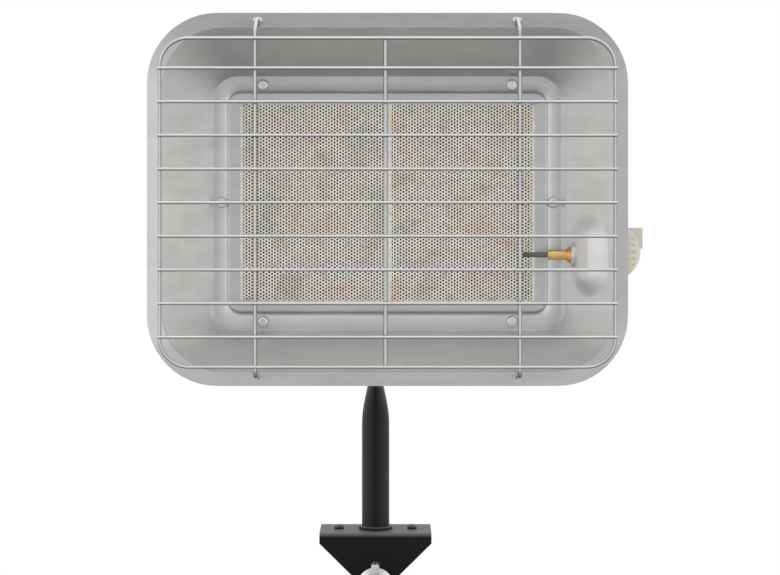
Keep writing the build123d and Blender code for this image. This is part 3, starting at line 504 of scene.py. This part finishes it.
FINISHES: dict[Slot, Finish] = {
    # Painted highlights on side-facing and top faces, painted shade on faces turned down.
    Slot.BLACK: PaintedLightFinish(
        "black_steel",
        front=0.015,
        left=0.06,
        right=0.06,
        up=0.20,
        down=0.004,
        metallic=0.0,
        roughness=(0.38, 0.5),
        reach=1.0,
        specular=0.06,
    ),
    Slot.ZINC: MetalFinish(
        "zinc_steel",
        low=(0.55, 0.56, 0.58),
        high=(0.72, 0.73, 0.75),
        metallic=0.9,
        roughness=(0.22, 0.34),
    ),
    # Painted light and shade: side-facing walls brightest, up-facing faces bright, front-facing band
    # and down-facing faces darker.
    Slot.DISH: PaintedLightFinish(
        "dish_steel",
        front=0.50,
        left=0.92,
        right=0.92,
        up=0.68,
        down=0.48,
        metallic=0.6,
        roughness=(0.26, 0.38),
    ),
    Slot.BOX: MetalFinish(
        "box_steel",
        low=(0.46, 0.46, 0.46),
        high=(0.58, 0.58, 0.57),
        metallic=0.7,
        roughness=(0.38, 0.5),
    ),
    Slot.TILE: CeramicFinish("tile_ceramic"),
    Slot.CEMENT: MattFinish(
        "tile_cement", low=(0.60, 0.57, 0.50), high=(0.72, 0.69, 0.62), roughness=0.95, bump=0.3
    ),
    Slot.SEAL: MattFinish(
        "seal_fibre", low=(0.70, 0.68, 0.63), high=(0.80, 0.78, 0.73), roughness=0.97, bump=0.4
    ),
    # Painted highlight on the tops and fronts of the wires, painted shade on their sides and
    # undersides.
    Slot.GUARD: PaintedLightFinish(
        "guard_chrome",
        front=0.66,
        left=0.10,
        right=0.10,
        up=0.80,
        down=0.02,
        metallic=0.9,
        roughness=(0.16, 0.24),
        reach=1.0,
    ),
    Slot.BRASS: MetalFinish(
        "valve_brass",
        low=(0.60, 0.38, 0.12),
        high=(0.74, 0.50, 0.19),
        metallic=0.95,
        roughness=(0.2, 0.32),
    ),
    Slot.PROBE: MetalFinish(
        "probe_steel",
        low=(0.10, 0.09, 0.08),
        high=(0.20, 0.18, 0.16),
        metallic=0.8,
        roughness=(0.35, 0.5),
    ),
    Slot.LEAD: MetalFinish(
        "lead_copper",
        low=(0.50, 0.24, 0.14),
        high=(0.66, 0.34, 0.21),
        metallic=0.95,
        roughness=(0.28, 0.4),
    ),
    Slot.KNOB: MattFinish(
        "knob_plastic", low=(0.66, 0.62, 0.52), high=(0.74, 0.70, 0.60), roughness=0.45, bump=0.03
    ),
}

# Lit and shaded copy of the dish finish for the rim: painted light on its left- and down-facing
# faces, painted shade on its right- and up-facing faces.
RIM_PAINTED_LIGHT_FINISH = PaintedLightFinish(
    "dish_rim_painted_light",
    front=0.42,
    left=0.66,
    right=0.44,
    up=0.33,
    down=0.68,
    metallic=0.6,
    roughness=(0.26, 0.38),
)

FLOOR_FINISH = MattFinish(
    "floor", low=(0.80, 0.80, 0.80), high=(0.82, 0.82, 0.82), roughness=0.9, bump=0.0
)


class MeshPiece:
    """One finer piece, modelled with bmesh and handed to the frame."""

    def __init__(self, name: str, body: Body, slot: Slot) -> None:
        """Start an empty piece.

        Args:
            name: Name of the object.
            body: Body it rides on.
            slot: Slot that it takes its finish from.
        """
        self.name = name
        self.body = body
        self.slot = slot
        self.mesh = bmesh.new()

    def edges(self, ring: Ring) -> list[bmesh.types.BMEdge]:
        """The edges round a closed ring."""
        return [self.mesh.edges.get(pair) for pair in zip(ring, ring[1:] + ring[:1])]

    def skin(self, outlines: Sequence[Sequence[Vector]]) -> list[Ring]:
        """Extrude a closed ring through a row of outlines.

        Args:
            outlines: Points round each outline, as many in each.

        Returns:
            The ring of vertices at each outline.
        """
        ring = [self.mesh.verts.new(point) for point in outlines[0]]
        for pair in zip(ring, ring[1:] + ring[:1]):
            self.mesh.edges.new(pair)
        rings = [ring]
        for points in outlines[1:]:
            rings.append(self.extrude(rings[-1], points))
        return rings

    def extrude(self, ring: Ring, points: Sequence[Vector]) -> Ring:
        """Extrude a ring and move the new one to its own points.

        Args:
            ring: Ring to extrude.
            points: Point for each of the ring's vertices.

        Returns:
            The new ring, in the same order.
        """
        made = bmesh.ops.extrude_edge_only(self.mesh, edges=self.edges(ring))
        fresh = {part for part in made["geom"] if isinstance(part, bmesh.types.BMVert)}
        grown = []
        for vert, point in zip(ring, points):
            ends = (edge.other_vert(vert) for edge in vert.link_edges)
            grown.append(next(end for end in ends if end in fresh))
            grown[-1].co = point
        return grown

    def cap(self, edges: Sequence[bmesh.types.BMEdge]) -> None:
        """Close a ring of edges with one face."""
        bmesh.ops.edgeloop_fill(self.mesh, edges=edges)

    def spin(self, profile: Sequence[Span], steps: int) -> None:
        """Turn a profile about the Z axis.

        Args:
            profile: Radius and height pairs in millimetres.
            steps: Steps of the turn.
        """
        verts = [self.mesh.verts.new((radius, 0.0, height)) for radius, height in profile]
        edges = [self.mesh.edges.new(pair) for pair in zip(verts, verts[1:])]
        bmesh.ops.spin(
            self.mesh,
            geom=verts + edges,
            cent=(0, 0, 0),
            axis=(0, 0, 1),
            angle=math.tau,
            steps=steps,
            use_merge=True,
        )

    def settle(self, place: Matrix) -> None:
        """Bring a piece drawn in millimetres on its own axis to its place in metres."""
        bmesh.ops.transform(self.mesh, matrix=place @ Matrix.Scale(MM, 4), verts=self.mesh.verts[:])

    def finish(self, smooth_angle: float, replaces: Sequence[str] = ()) -> bpy.types.Object:
        """Turn the bmesh into an object with its finish, riding on its body.

        Args:
            smooth_angle: Edges sharper than this stay sharp, in degrees.
            replaces: CAD nodes it stands for.

        Returns:
            The object.
        """
        bmesh.ops.recalc_face_normals(self.mesh, faces=self.mesh.faces[:])
        sharp = math.radians(smooth_angle)
        for face in self.mesh.faces:
            face.smooth = True
        for edge in self.mesh.edges:
            if edge.is_manifold and edge.calc_face_angle(0.0) > sharp:
                edge.smooth = False
        data = bpy.data.meshes.new(self.name)
        self.mesh.to_mesh(data)
        self.mesh.free()
        data.materials.append(FINISHES[self.slot].material())
        made = bpy.data.objects.new(self.name, data)
        bpy.context.scene.collection.objects.link(made)
        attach(made, self.body.value)
        if replaces:
            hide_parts(*replaces)
        LOG.info("%s: %d faces", self.name, len(data.polygons))
        return made


@dataclass(frozen=True)
class Loop:
    """One rounded rectangle of the dish, in millimetres from the head's centre."""

    y: float
    half_x: float
    half_z: float
    radius: float
    rise: float = 0.0

    def grown(self, out: float) -> "Loop":
        """The loop drawn out evenly by a distance."""
        sizes = {key: getattr(self, key) + out for key in ("half_x", "half_z", "radius")}
        return replace(self, **sizes)

    def blend(self, other: "Loop", share: float) -> "Loop":
        """The loop a share of the way to another.

        Args:
            other: Loop at share 1.
            share: How far to go.

        Returns:
            The loop between them.
        """
        values = [
            getattr(self, key) * (1 - share) + getattr(other, key) * share
            for key in ("y", "half_x", "half_z", "radius", "rise")
        ]
        return Loop(*values)

    def points(self, sides: Sequence[Sequence[float]], corner_steps: int) -> list[Vector]:
        """Points round the loop, counter-clockwise seen from the front.

        Args:
            sides: Shares along the right, top, left and bottom sides.
            corner_steps: Steps in each corner.

        Returns:
            The points in metres.
        """
        x_in = self.half_x - self.radius
        z_in = self.half_z - self.radius
        centres = [(x_in, z_in), (-x_in, z_in), (-x_in, -z_in), (x_in, -z_in)]
        ends = [
            ((self.half_x, -z_in), (self.half_x, z_in)),
            ((x_in, self.half_z), (-x_in, self.half_z)),
            ((-self.half_x, z_in), (-self.half_x, -z_in)),
            ((-x_in, -self.half_z), (x_in, -self.half_z)),
        ]
        flat = []
        for quarter, ((start, end), shares, (cx, cz)) in enumerate(zip(ends, sides, centres)):
            for share in shares:
                x, z = (a * (1 - share) + b * share for a, b in zip(start, end))
                flat.append((x, z))
            for step in range(corner_steps):
                angle = math.radians(90 * quarter + 90 * step / corner_steps)
                x, z = self.radius * math.cos(angle), self.radius * math.sin(angle)
                flat.append((cx + x, cz + z))
        return [HEAD.point(x, self.y, z + self.rise) for x, z in flat]


@dataclass
class Reflector:
    """Pressed dish: flat band, bend, slanted walls, folded crest, rim and hem."""

    inner: Loop = Loop(HEAD.band_y, 96.0, 67.5, 4.0)
    band: Loop = Loop(HEAD.band_y, 109.8, 80.5, 15.0, -0.8)
    ridge: Loop = Loop(HEAD.ridge_y, 112.3, 83.0, 17.5, -0.8)
    crest: Loop = Loop(HEAD.crest_y, 136.5, 104.3, 36.0, 1.9)
    rim: Loop = Loop(HEAD.rim_y, 147.5, 114.4, 43.0, 1.9)
    fold: float = 0.7
    band_insets: Span = (2.0, 0.6)
    bend_shares: Span = (0.12, 0.88)
    wall_start: float = 0.02
    wall_rows: int = 46
    fold_angles: tuple[int, ...] = (0, 30, 60, 90, 120, 150)
    rim_shares: tuple[float, ...] = (0.06, 0.35, 0.7, 0.97)
    hem_depths: tuple[float, ...] = (0.0, 0.5, 2.6)
    rim_rings: int = 12
    corner_steps: int = 12
    side_steps: int = 16
    side_ends: Span = (0.01, 0.99)
    boss_side: float = 66.0
    boss_steps: range = range(-31, 36)
    boss_side_span: Span = (0.03, 0.97)
    boss_side_rest: tuple[float, ...] = (0.02, 0.8, 0.9, 0.98)
    boss_up_wall: float = 25.0
    boss_raise: float = 4.8
    boss_foot: Span = (21.0, 25.5)
    boss_top: Span = (4.5, 15.0)
    boss_lean: float = 0.5
    boss_round: float = 0.35
    wall_slack: float = 1.5
    smooth_angle: float = 30.0

    def build(self) -> None:
        """Skin the dish's fold lines, mark the rim's faces for the rim's painted light and shade,
        and thicken it all to the sheet.
        """
        piece = MeshPiece("reflector_skin", Body.HEAD, Slot.DISH)
        sides = self.side_shares()
        outlines = [loop.points(sides, self.corner_steps) for loop in self.loops()]
        rings = piece.skin([[self.pressed(point) for point in points] for points in outlines])
        folded = {vert for ring in rings[-self.rim_rings :] for vert in ring}
        # Rim faces take the second material, the rim's painted light and shade.
        for face in piece.mesh.faces:
            face.material_index = int(folded.issuperset(face.verts))
        made = piece.finish(self.smooth_angle, ["reflector"])
        made.data.materials.append(RIM_PAINTED_LIGHT_FINISH.material())
        thick = made.modifiers.new("sheet", "SOLIDIFY")
        thick.thickness = HEAD.sheet * MM
        thick.offset = -1.0

    def loops(self) -> list[Loop]:
        """The dish's fold lines.

        Returns:
            The loops, from the tiles' window out to the hem.
        """
        made = [self.inner, *(self.band.grown(-inset) for inset in self.band_insets), self.band]
        made += [self.band.blend(self.ridge, share) for share in self.bend_shares]
        made += [self.ridge, self.ridge.blend(self.crest, self.wall_start)]
        rows = range(1, self.wall_rows)
        made += [self.ridge.blend(self.crest, row / self.wall_rows) for row in rows]
        made += [self.fold_loop(math.radians(angle)) for angle in self.fold_angles]
        top = self.crest.grown(self.fold)
        made += [top.blend(self.rim, share) for share in self.rim_shares]
        made += [replace(self.rim, y=self.rim.y + depth) for depth in self.hem_depths]
        return made

    def fold_loop(self, angle: float) -> Loop:
        """A loop on the small round fold over the crest.

        Args:
            angle: Place on the fold, in radians.

        Returns:
            The loop.
        """
        radius = self.fold / 2
        y = self.crest.y + radius * (1 - math.sin(angle))
        return replace(self.crest.grown(radius * (1 - math.cos(angle))), y=y)

    def side_shares(self) -> list[list[float]]:
        """Where the vertices lie along the four sides, close together at the boss.

        Returns:
            Shares along the right, top, left and bottom sides.
        """
        first, last = self.side_ends
        plain = [first, *(step / self.side_steps for step in range(1, self.side_steps)), last]
        dense = [0.5 + (HEAD.boss_z + step) / (2 * self.boss_side) for step in self.boss_steps]
        low, high = self.boss_side_span
        right = {share for share in dense if low < share < high} | set(self.boss_side_rest)
        return [sorted(right), plain, plain, plain]

    def pressed(self, point: Vector) -> Vector:
        """Push a point of the right wall into the dish where the boss is.

        Args:
            point: Point of the plain wall, in metres.

        Returns:
            The point on the boss, or the point itself.
        """
        out, deep = self.crest.half_x - self.ridge.half_x, self.crest.y - self.ridge.y
        along = Vector((out, deep, 0.0)).normalized()
        into = Vector((along.y, -along.x, 0.0))
        start = HEAD.point(self.ridge.half_x, self.ridge.y, HEAD.boss_z)
        offset = (point - start) / MM
        if abs(offset.dot(into)) > self.wall_slack:
            return point
        share = self.boss_share(offset.dot(along) - self.boss_up_wall, offset.z)
        return point + into * (self.boss_raise * share * MM)

    def boss_share(self, up_wall: float, z: float) -> float:
        """Share of the boss's full height at a place on the wall.

        Args:
            up_wall: Distance up the wall from the boss's middle.
            z: Height from the boss's middle.

        Returns:
            0 outside the boss, 1 on its flat top.
        """
        foot = self.slot_distance(up_wall, z, *self.boss_foot)
        top = self.slot_distance(up_wall - self.boss_lean, z, *self.boss_top)
        if foot >= 0.0:
            return 0.0
        if top <= 0.0:
            return 1.0
        share = -foot / (top - foot)
        eased = share * share * (3 - 2 * share)
        return eased * self.boss_round + share * (1 - self.boss_round)

    @staticmethod
    def slot_distance(across: float, up: float, half_width: float, half_height: float) -> float:
        """Signed distance to an upright slot's edge.

        Args:
            across: Place across the slot, from its middle.
            up: Place along the slot, from its middle.
            half_width: Half of the slot's width.
            half_height: Half of the slot's height.

        Returns:
            The distance, less than 0 inside the slot.
        """
        over = max(abs(up) - (half_height - half_width), 0.0)
        return math.hypot(across, over) - half_width


@dataclass
class Seat:
    """Small round seat pressed out of the boss for the thermocouple."""

    bore: float = 4.2
    radius: float = 7.7
    depth: float = 9.0
    edge: tuple[Span, ...] = ((1.6, 0.0), (0.9, 0.12), (0.35, 0.5), (0.1, 1.0), (0.0, 1.7))
    steps: int = 40
    smooth_angle: float = 50.0

    def build(self) -> None:
        """Spin the seat's flat top, its rounded edge and its side."""
        piece = MeshPiece("thermocouple_seat", Body.HEAD, Slot.DISH)
        edge = [(self.radius - inset, height) for inset, height in self.edge]
        piece.spin([(self.bore, 0.0), *edge, (self.radius, self.depth)], self.steps)
        piece.settle(HEAD.facing_right(HEAD.seat_x, HEAD.seat_y, HEAD.boss_z))
        piece.finish(self.smooth_angle)


@dataclass
class Tile:
    """One ceramic tile: a bordered block and its perforated face."""

    side: Side
    width: float = 93.0
    height: float = 131.0
    thickness: float = 13.0
    joint: float = 1.0
    columns: int = 50
    rows: int = 60
    column_pitch: float = 1.8
    row_pitch: float = 2.08
    hole: float = 0.68
    hole_depth: float = 1.5
    border_depth: float = 0.03
    border_overlap: Span = (0.7, 0.4)
    edge: float = 0.35
    edge_depth: float = 0.4
    block_smooth_angle: float = 20.0
    hole_smooth_angle: float = 30.0

    @property
    def centre_x(self) -> float:
        """Middle of the tile from the head's centre."""
        return self.side.value * (self.width + self.joint) / 2

    @property
    def name(self) -> str:
        """CAD node that the tile stands for."""
        return "tile_" + self.side.name.lower()

    def build(self) -> None:
        """Build the block and the perforated face."""
        self.block()
        self.face()

    def block(self) -> None:
        """Border at the face, and a floor behind the holes."""
        piece = MeshPiece(self.name + "_block", Body.HEAD, Slot.TILE)
        half_x, half_z = self.width / 2, self.height / 2
        pocket_x = self.columns * self.column_pitch / 2 - self.border_overlap[0]
        pocket_z = self.rows * self.row_pitch / 2 - self.border_overlap[1]
        levels = [
            (pocket_x, pocket_z, self.hole_depth),
            (pocket_x, pocket_z, self.border_depth),
            (half_x - self.edge, half_z - self.edge, self.border_depth),
            (half_x, half_z, self.edge_depth),
            (half_x, half_z, self.thickness),
        ]
        outlines = []
        for x, z, depth in levels:
            corners = [(x, -z), (x, z), (-x, z), (-x, -z)]
            outlines.append([self.spot(cx, cz, depth) for cx, cz in corners])
        rings = piece.skin(outlines)
        piece.cap(piece.edges(rings[0]))
        piece.cap(piece.edges(rings[-1]))
        piece.finish(self.block_smooth_angle, [self.name])

    def face(self) -> None:
        """Two neighbouring cells with real holes, repeated by two arrays."""
        piece = MeshPiece(self.name + "_holes", Body.HEAD, Slot.TILE)
        start_x = -(self.columns - 1) * self.column_pitch / 2
        start_z = -(self.rows - 0.5) * self.row_pitch / 2
        self.cell(piece, start_x, start_z)
        self.cell(piece, start_x + self.column_pitch, start_z + self.row_pitch / 2)
        made = piece.finish(self.hole_smooth_angle, [self.name])
        self.repeat(made, "columns", self.columns // 2, (2 * self.column_pitch * MM, 0.0, 0.0))
        self.repeat(made, "rows", self.rows, (0.0, 0.0, self.row_pitch * MM))

    def spot(self, x: float, z: float, depth: float = 0.0) -> Vector:
        """A point in metres, measured at the middle of the tile's face."""
        return HEAD.point(self.centre_x + x, HEAD.tile_y + depth, z)

    def cell(self, piece: MeshPiece, x: float, z: float) -> None:
        """One six-sided cell with its hole.

        Args:
            piece: Piece that takes the cell.
            x: Middle of the cell from the tile's middle.
            z: Middle of the cell from the tile's middle.
        """
        turns = [math.radians(60 * step) for step in range(6)]
        unit = [(math.cos(turn), math.sin(turn)) for turn in turns]
        reach = self.column_pitch * 2 / 3
        tall = self.row_pitch / 2 / math.sin(math.radians(60))
        outer = [self.spot(x + reach * ux, z + tall * uz) for ux, uz in unit]
        hole = [(x + self.hole * ux, z + self.hole * uz) for ux, uz in unit]
        mouth = [self.spot(*place) for place in hole]
        floor = [self.spot(*place, self.hole_depth) for place in hole]
        piece.skin([outer, mouth, floor])

    @staticmethod
    def repeat(made: bpy.types.Object, name: str, count: int, step: Place) -> None:
        """Repeat an object along a step.

        Args:
            made: Object to repeat.
            name: Name of the array.
            count: How many there are in all.
            step: Step in metres.
        """
        array = made.modifiers.new(name, "ARRAY")
        array.count = count
        array.use_relative_offset = False
        array.use_constant_offset = True
        array.constant_offset_displace = step


@dataclass
class Knob:
    """Fluted knob with a pointer block, drawn along its own axis."""

    axis_x: float = 145.0
    y: float = -40.0
    z: float = -32.5
    radius: float = 16.8
    bore: float = 13.4
    bore_depth: float = 12.0
    bore_chamfer: tuple[Span, ...] = ((0.0, 0.3), (0.4, 0.0))
    skirt: tuple[Span, ...] = ((0.9, 0.0), (0.25, 0.3), (0.0, 1.0), (0.15, 2.4), (0.18, 3.0))
    length: float = 14.0
    end_radius: float = 15.5
    end_edge: Span = (0.25, 1.0)
    dome: float = 8.0
    top_slack: float = 0.01
    dome_shares: tuple[float, ...] = (1.0, 0.94, 0.86, 0.76, 0.62, 0.48, 0.33, 0.18, 0.07)
    flutes: int = 18
    flute: float = 1.7
    flute_shape: tuple[float, ...] = (0.0, 0.0, 0.25, 0.8, 1.0, 0.8, 0.25, 0.0)
    fluted_above: float = 2.7
    fluted_beyond: float = 13.6
    pointer_length: float = 13.8
    pointer_width: float = 8.0
    pointer_start: float = 2.0
    pointer_sink: float = 0.6
    pointer_rise: float = 1.2
    pointer_round: float = 0.9
    smooth_angle: float = 28.0

    def build(self) -> None:
        """Spin the body, cut its flutes, close its top and add its pointer."""
        piece = MeshPiece("knob_body", Body.KNOB, Slot.KNOB)
        piece.spin(self.profile(), self.flutes * len(self.flute_shape))
        self.cut_flutes(piece)
        self.close_top(piece)
        self.pointer(piece)
        piece.settle(HEAD.facing_right(self.axis_x, self.y, self.z))
        piece.finish(self.smooth_angle, ["control_knob"])

    def profile(self) -> list[Span]:
        """The body's outline, from inside its bore round to the top of its dome.

        Returns:
            Radius and height pairs in millimetres.
        """
        made = [(self.bore, self.bore_depth)]
        made += [(self.bore + out, height) for out, height in self.bore_chamfer]
        made += [(self.radius - inset, height) for inset, height in self.skirt]
        out, back = self.end_edge
        made += [(self.end_radius + out, self.length - back)]
        sphere = (self.end_radius**2 + self.dome**2) / (2 * self.dome)
        widest = math.asin(self.end_radius / sphere)
        for share in self.dome_shares:
            drop = sphere * (1 - math.cos(widest * share))
            made.append((sphere * math.sin(widest * share), self.length + self.dome - drop))
        return made

    def cut_flutes(self, piece: MeshPiece) -> None:
        """Draw the body's side in at each flute.

        Args:
            piece: Piece with the spun body, still on its own axis.
        """
        steps = len(self.flute_shape)
        for vert in piece.mesh.verts:
            x, y, height = vert.co
            radius = math.hypot(x, y)
            if height > self.fluted_above and radius > self.fluted_beyond:
                step = round(math.atan2(y, x) / math.tau * self.flutes * steps) % steps
                share = 1 - self.flute * self.flute_shape[step] / radius
                vert.co = (x * share, y * share, height)

    def close_top(self, piece: MeshPiece) -> None:
        """Close the small ring at the top of the dome.

        Args:
            piece: Piece with the spun body, still on its own axis.
        """
        top = max(vert.co.z for vert in piece.mesh.verts) - self.top_slack
        piece.cap([edge for edge in piece.mesh.edges if min(v.co.z for v in edge.verts) > top])

    def pointer(self, piece: MeshPiece) -> None:
        """Add the rounded pointer block across the dome.

        Args:
            piece: Piece with the spun body, still on its own axis.
        """
        low = self.length - self.pointer_sink
        high = self.length + self.dome + self.pointer_rise
        size = Matrix.Diagonal((self.pointer_length, self.pointer_width, high - low, 1.0))
        middle = (self.pointer_length / 2 + self.pointer_start, 0.0, (low + high) / 2)
        block = bmesh.ops.create_cube(
            piece.mesh, size=1.0, matrix=Matrix.Translation(middle) @ size
        )
        corners = set(block["verts"])
        bmesh.ops.bevel(
            piece.mesh,
            geom=[edge for edge in piece.mesh.edges if corners.issuperset(edge.verts)],
            offset=self.pointer_round,
            offset_type="OFFSET",
            affect="EDGES",
            segments=3,
            profile=0.5,
            material=-1,
        )


@dataclass
class CadNodes:
    """The CAD nodes carried over in the frame, by name."""

    nodes: dict[str, bpy.types.Object]

    def dress(self) -> None:
        """Give every CAD node the finish of its slot."""
        slots = {row["node"]: row["material_slot"] for row in frame["record"]["subparts"]}
        for name, node in self.nodes.items():
            slot = Slot(slots[name])
            node.data.materials.clear()
            node.data.materials.append(FINISHES[slot].material())
            LOG.info("%s: %s", name, slot.value)


@dataclass(frozen=True)
class Lamp:
    """One large square light, in metres and watts."""

    name: str
    place: Place
    size: float
    power: float
    aim: Place = (0.0, -0.1, 0.2)

    def build(self) -> None:
        """Add the light, aimed at the heater."""
        data = bpy.data.lights.new(self.name, "AREA")
        data.energy = self.power
        data.size = self.size
        light = bpy.data.objects.new(self.name, data)
        light.location = self.place
        aim = Vector(self.aim) - Vector(self.place)
        light.rotation_euler = aim.to_track_quat("-Z", "Y").to_euler()
        bpy.context.scene.collection.objects.link(light)


@dataclass
class Studio:
    """Camera, lights, floor and background."""

    camera_y: float = -1345.0
    focal_px: float = 1975.0
    centre_px: Span = (387.5, 202.5)
    picture: Span = (780.0, 575.0)
    sensor: float = 36.0
    ambient: Colour = (0.80, 0.81, 0.82)
    seen_white: tuple[str, ...] = ("Is Glossy Ray", "Is Transmission Ray")
    lamps: tuple[Lamp, ...] = (
        Lamp("left", (-1.5, -1.3, 0.5), 1.3, 3.6),
        Lamp("right", (1.5, -1.2, 0.4), 1.3, 2.6),
        Lamp("top", (0.0, -0.9, 1.5), 1.0, 1.2),
    )
    floor_size: float = 0.5
    floor_y: float = -0.47
    floor_drop: float = 0.001

    def build(self) -> None:
        """Set up the whole studio."""
        self.camera()
        self.background()
        for lamp in self.lamps:
            lamp.build()
        self.floor()

    def camera(self) -> None:
        """Level camera straight in front of the head, shifted as the picture is."""
        width, height = self.picture
        data = bpy.data.cameras.new("camera")
        data.sensor_width = self.sensor
        data.lens = self.focal_px / width * self.sensor
        data.shift_x = (width / 2 - self.centre_px[0]) / width
        data.shift_y = (self.centre_px[1] - height / 2) / width
        camera = bpy.data.objects.new("camera", data)
        camera.location = (HEAD.x * MM, self.camera_y * MM, HEAD.z * MM)
        camera.rotation_euler = (math.radians(90), 0, 0)
        bpy.context.scene.collection.objects.link(camera)
        bpy.context.scene.camera = camera
        bpy.context.scene.view_settings.view_transform = "Standard"

    def background(self) -> None:
        """White where the camera or a reflection sees it, softer as light."""
        world = bpy.data.worlds.new("studio")
        world.use_nodes = True
        bpy.context.scene.world = world
        tree = world.node_tree
        shade = tree.nodes["Background"]
        path = tree.nodes.new("ShaderNodeLightPath")
        mix = tree.nodes.new("ShaderNodeMix")
        mix.data_type = "RGBA"
        seen = path.outputs["Is Camera Ray"]
        for name in self.seen_white:
            either = tree.nodes.new("ShaderNodeMath")
            either.operation = "MAXIMUM"
            tree.links.new(seen, either.inputs[0])
            tree.links.new(path.outputs[name], either.inputs[1])
            seen = either.outputs[0]
        tree.links.new(seen, mix.inputs["Factor"])
        mix.inputs["A"].default_value = (*self.ambient, 1.0)
        mix.inputs["B"].default_value = (*WHITE, 1.0)
        tree.links.new(mix.outputs["Result"], shade.inputs["Color"])
        shade.inputs["Strength"].default_value = 1.0

    def floor(self) -> None:
        """Plain pale floor under the object."""
        height = CAD_BOX[0][2] - self.floor_drop
        made = bmesh.new()
        bmesh.ops.create_grid(made, x_segments=1, y_segments=1, size=self.floor_size)
        bmesh.ops.translate(made, vec=(0.0, self.floor_y, height), verts=made.verts[:])
        data = bpy.data.meshes.new("floor")
        made.to_mesh(data)
        made.free()
        data.materials.append(FLOOR_FINISH.material())
        floor = bpy.data.objects.new("floor", data)
        bpy.context.scene.collection.objects.link(floor)


def main() -> None:
    """Dress the CAD nodes, build every finer piece and set up the studio."""
    CadNodes(frame["nodes"]).dress()
    Reflector().build()
    Seat().build()
    for side in Side:
        Tile(side).build()
    Knob().build()
    Studio().build()


if __name__ == "__main__":
    main()
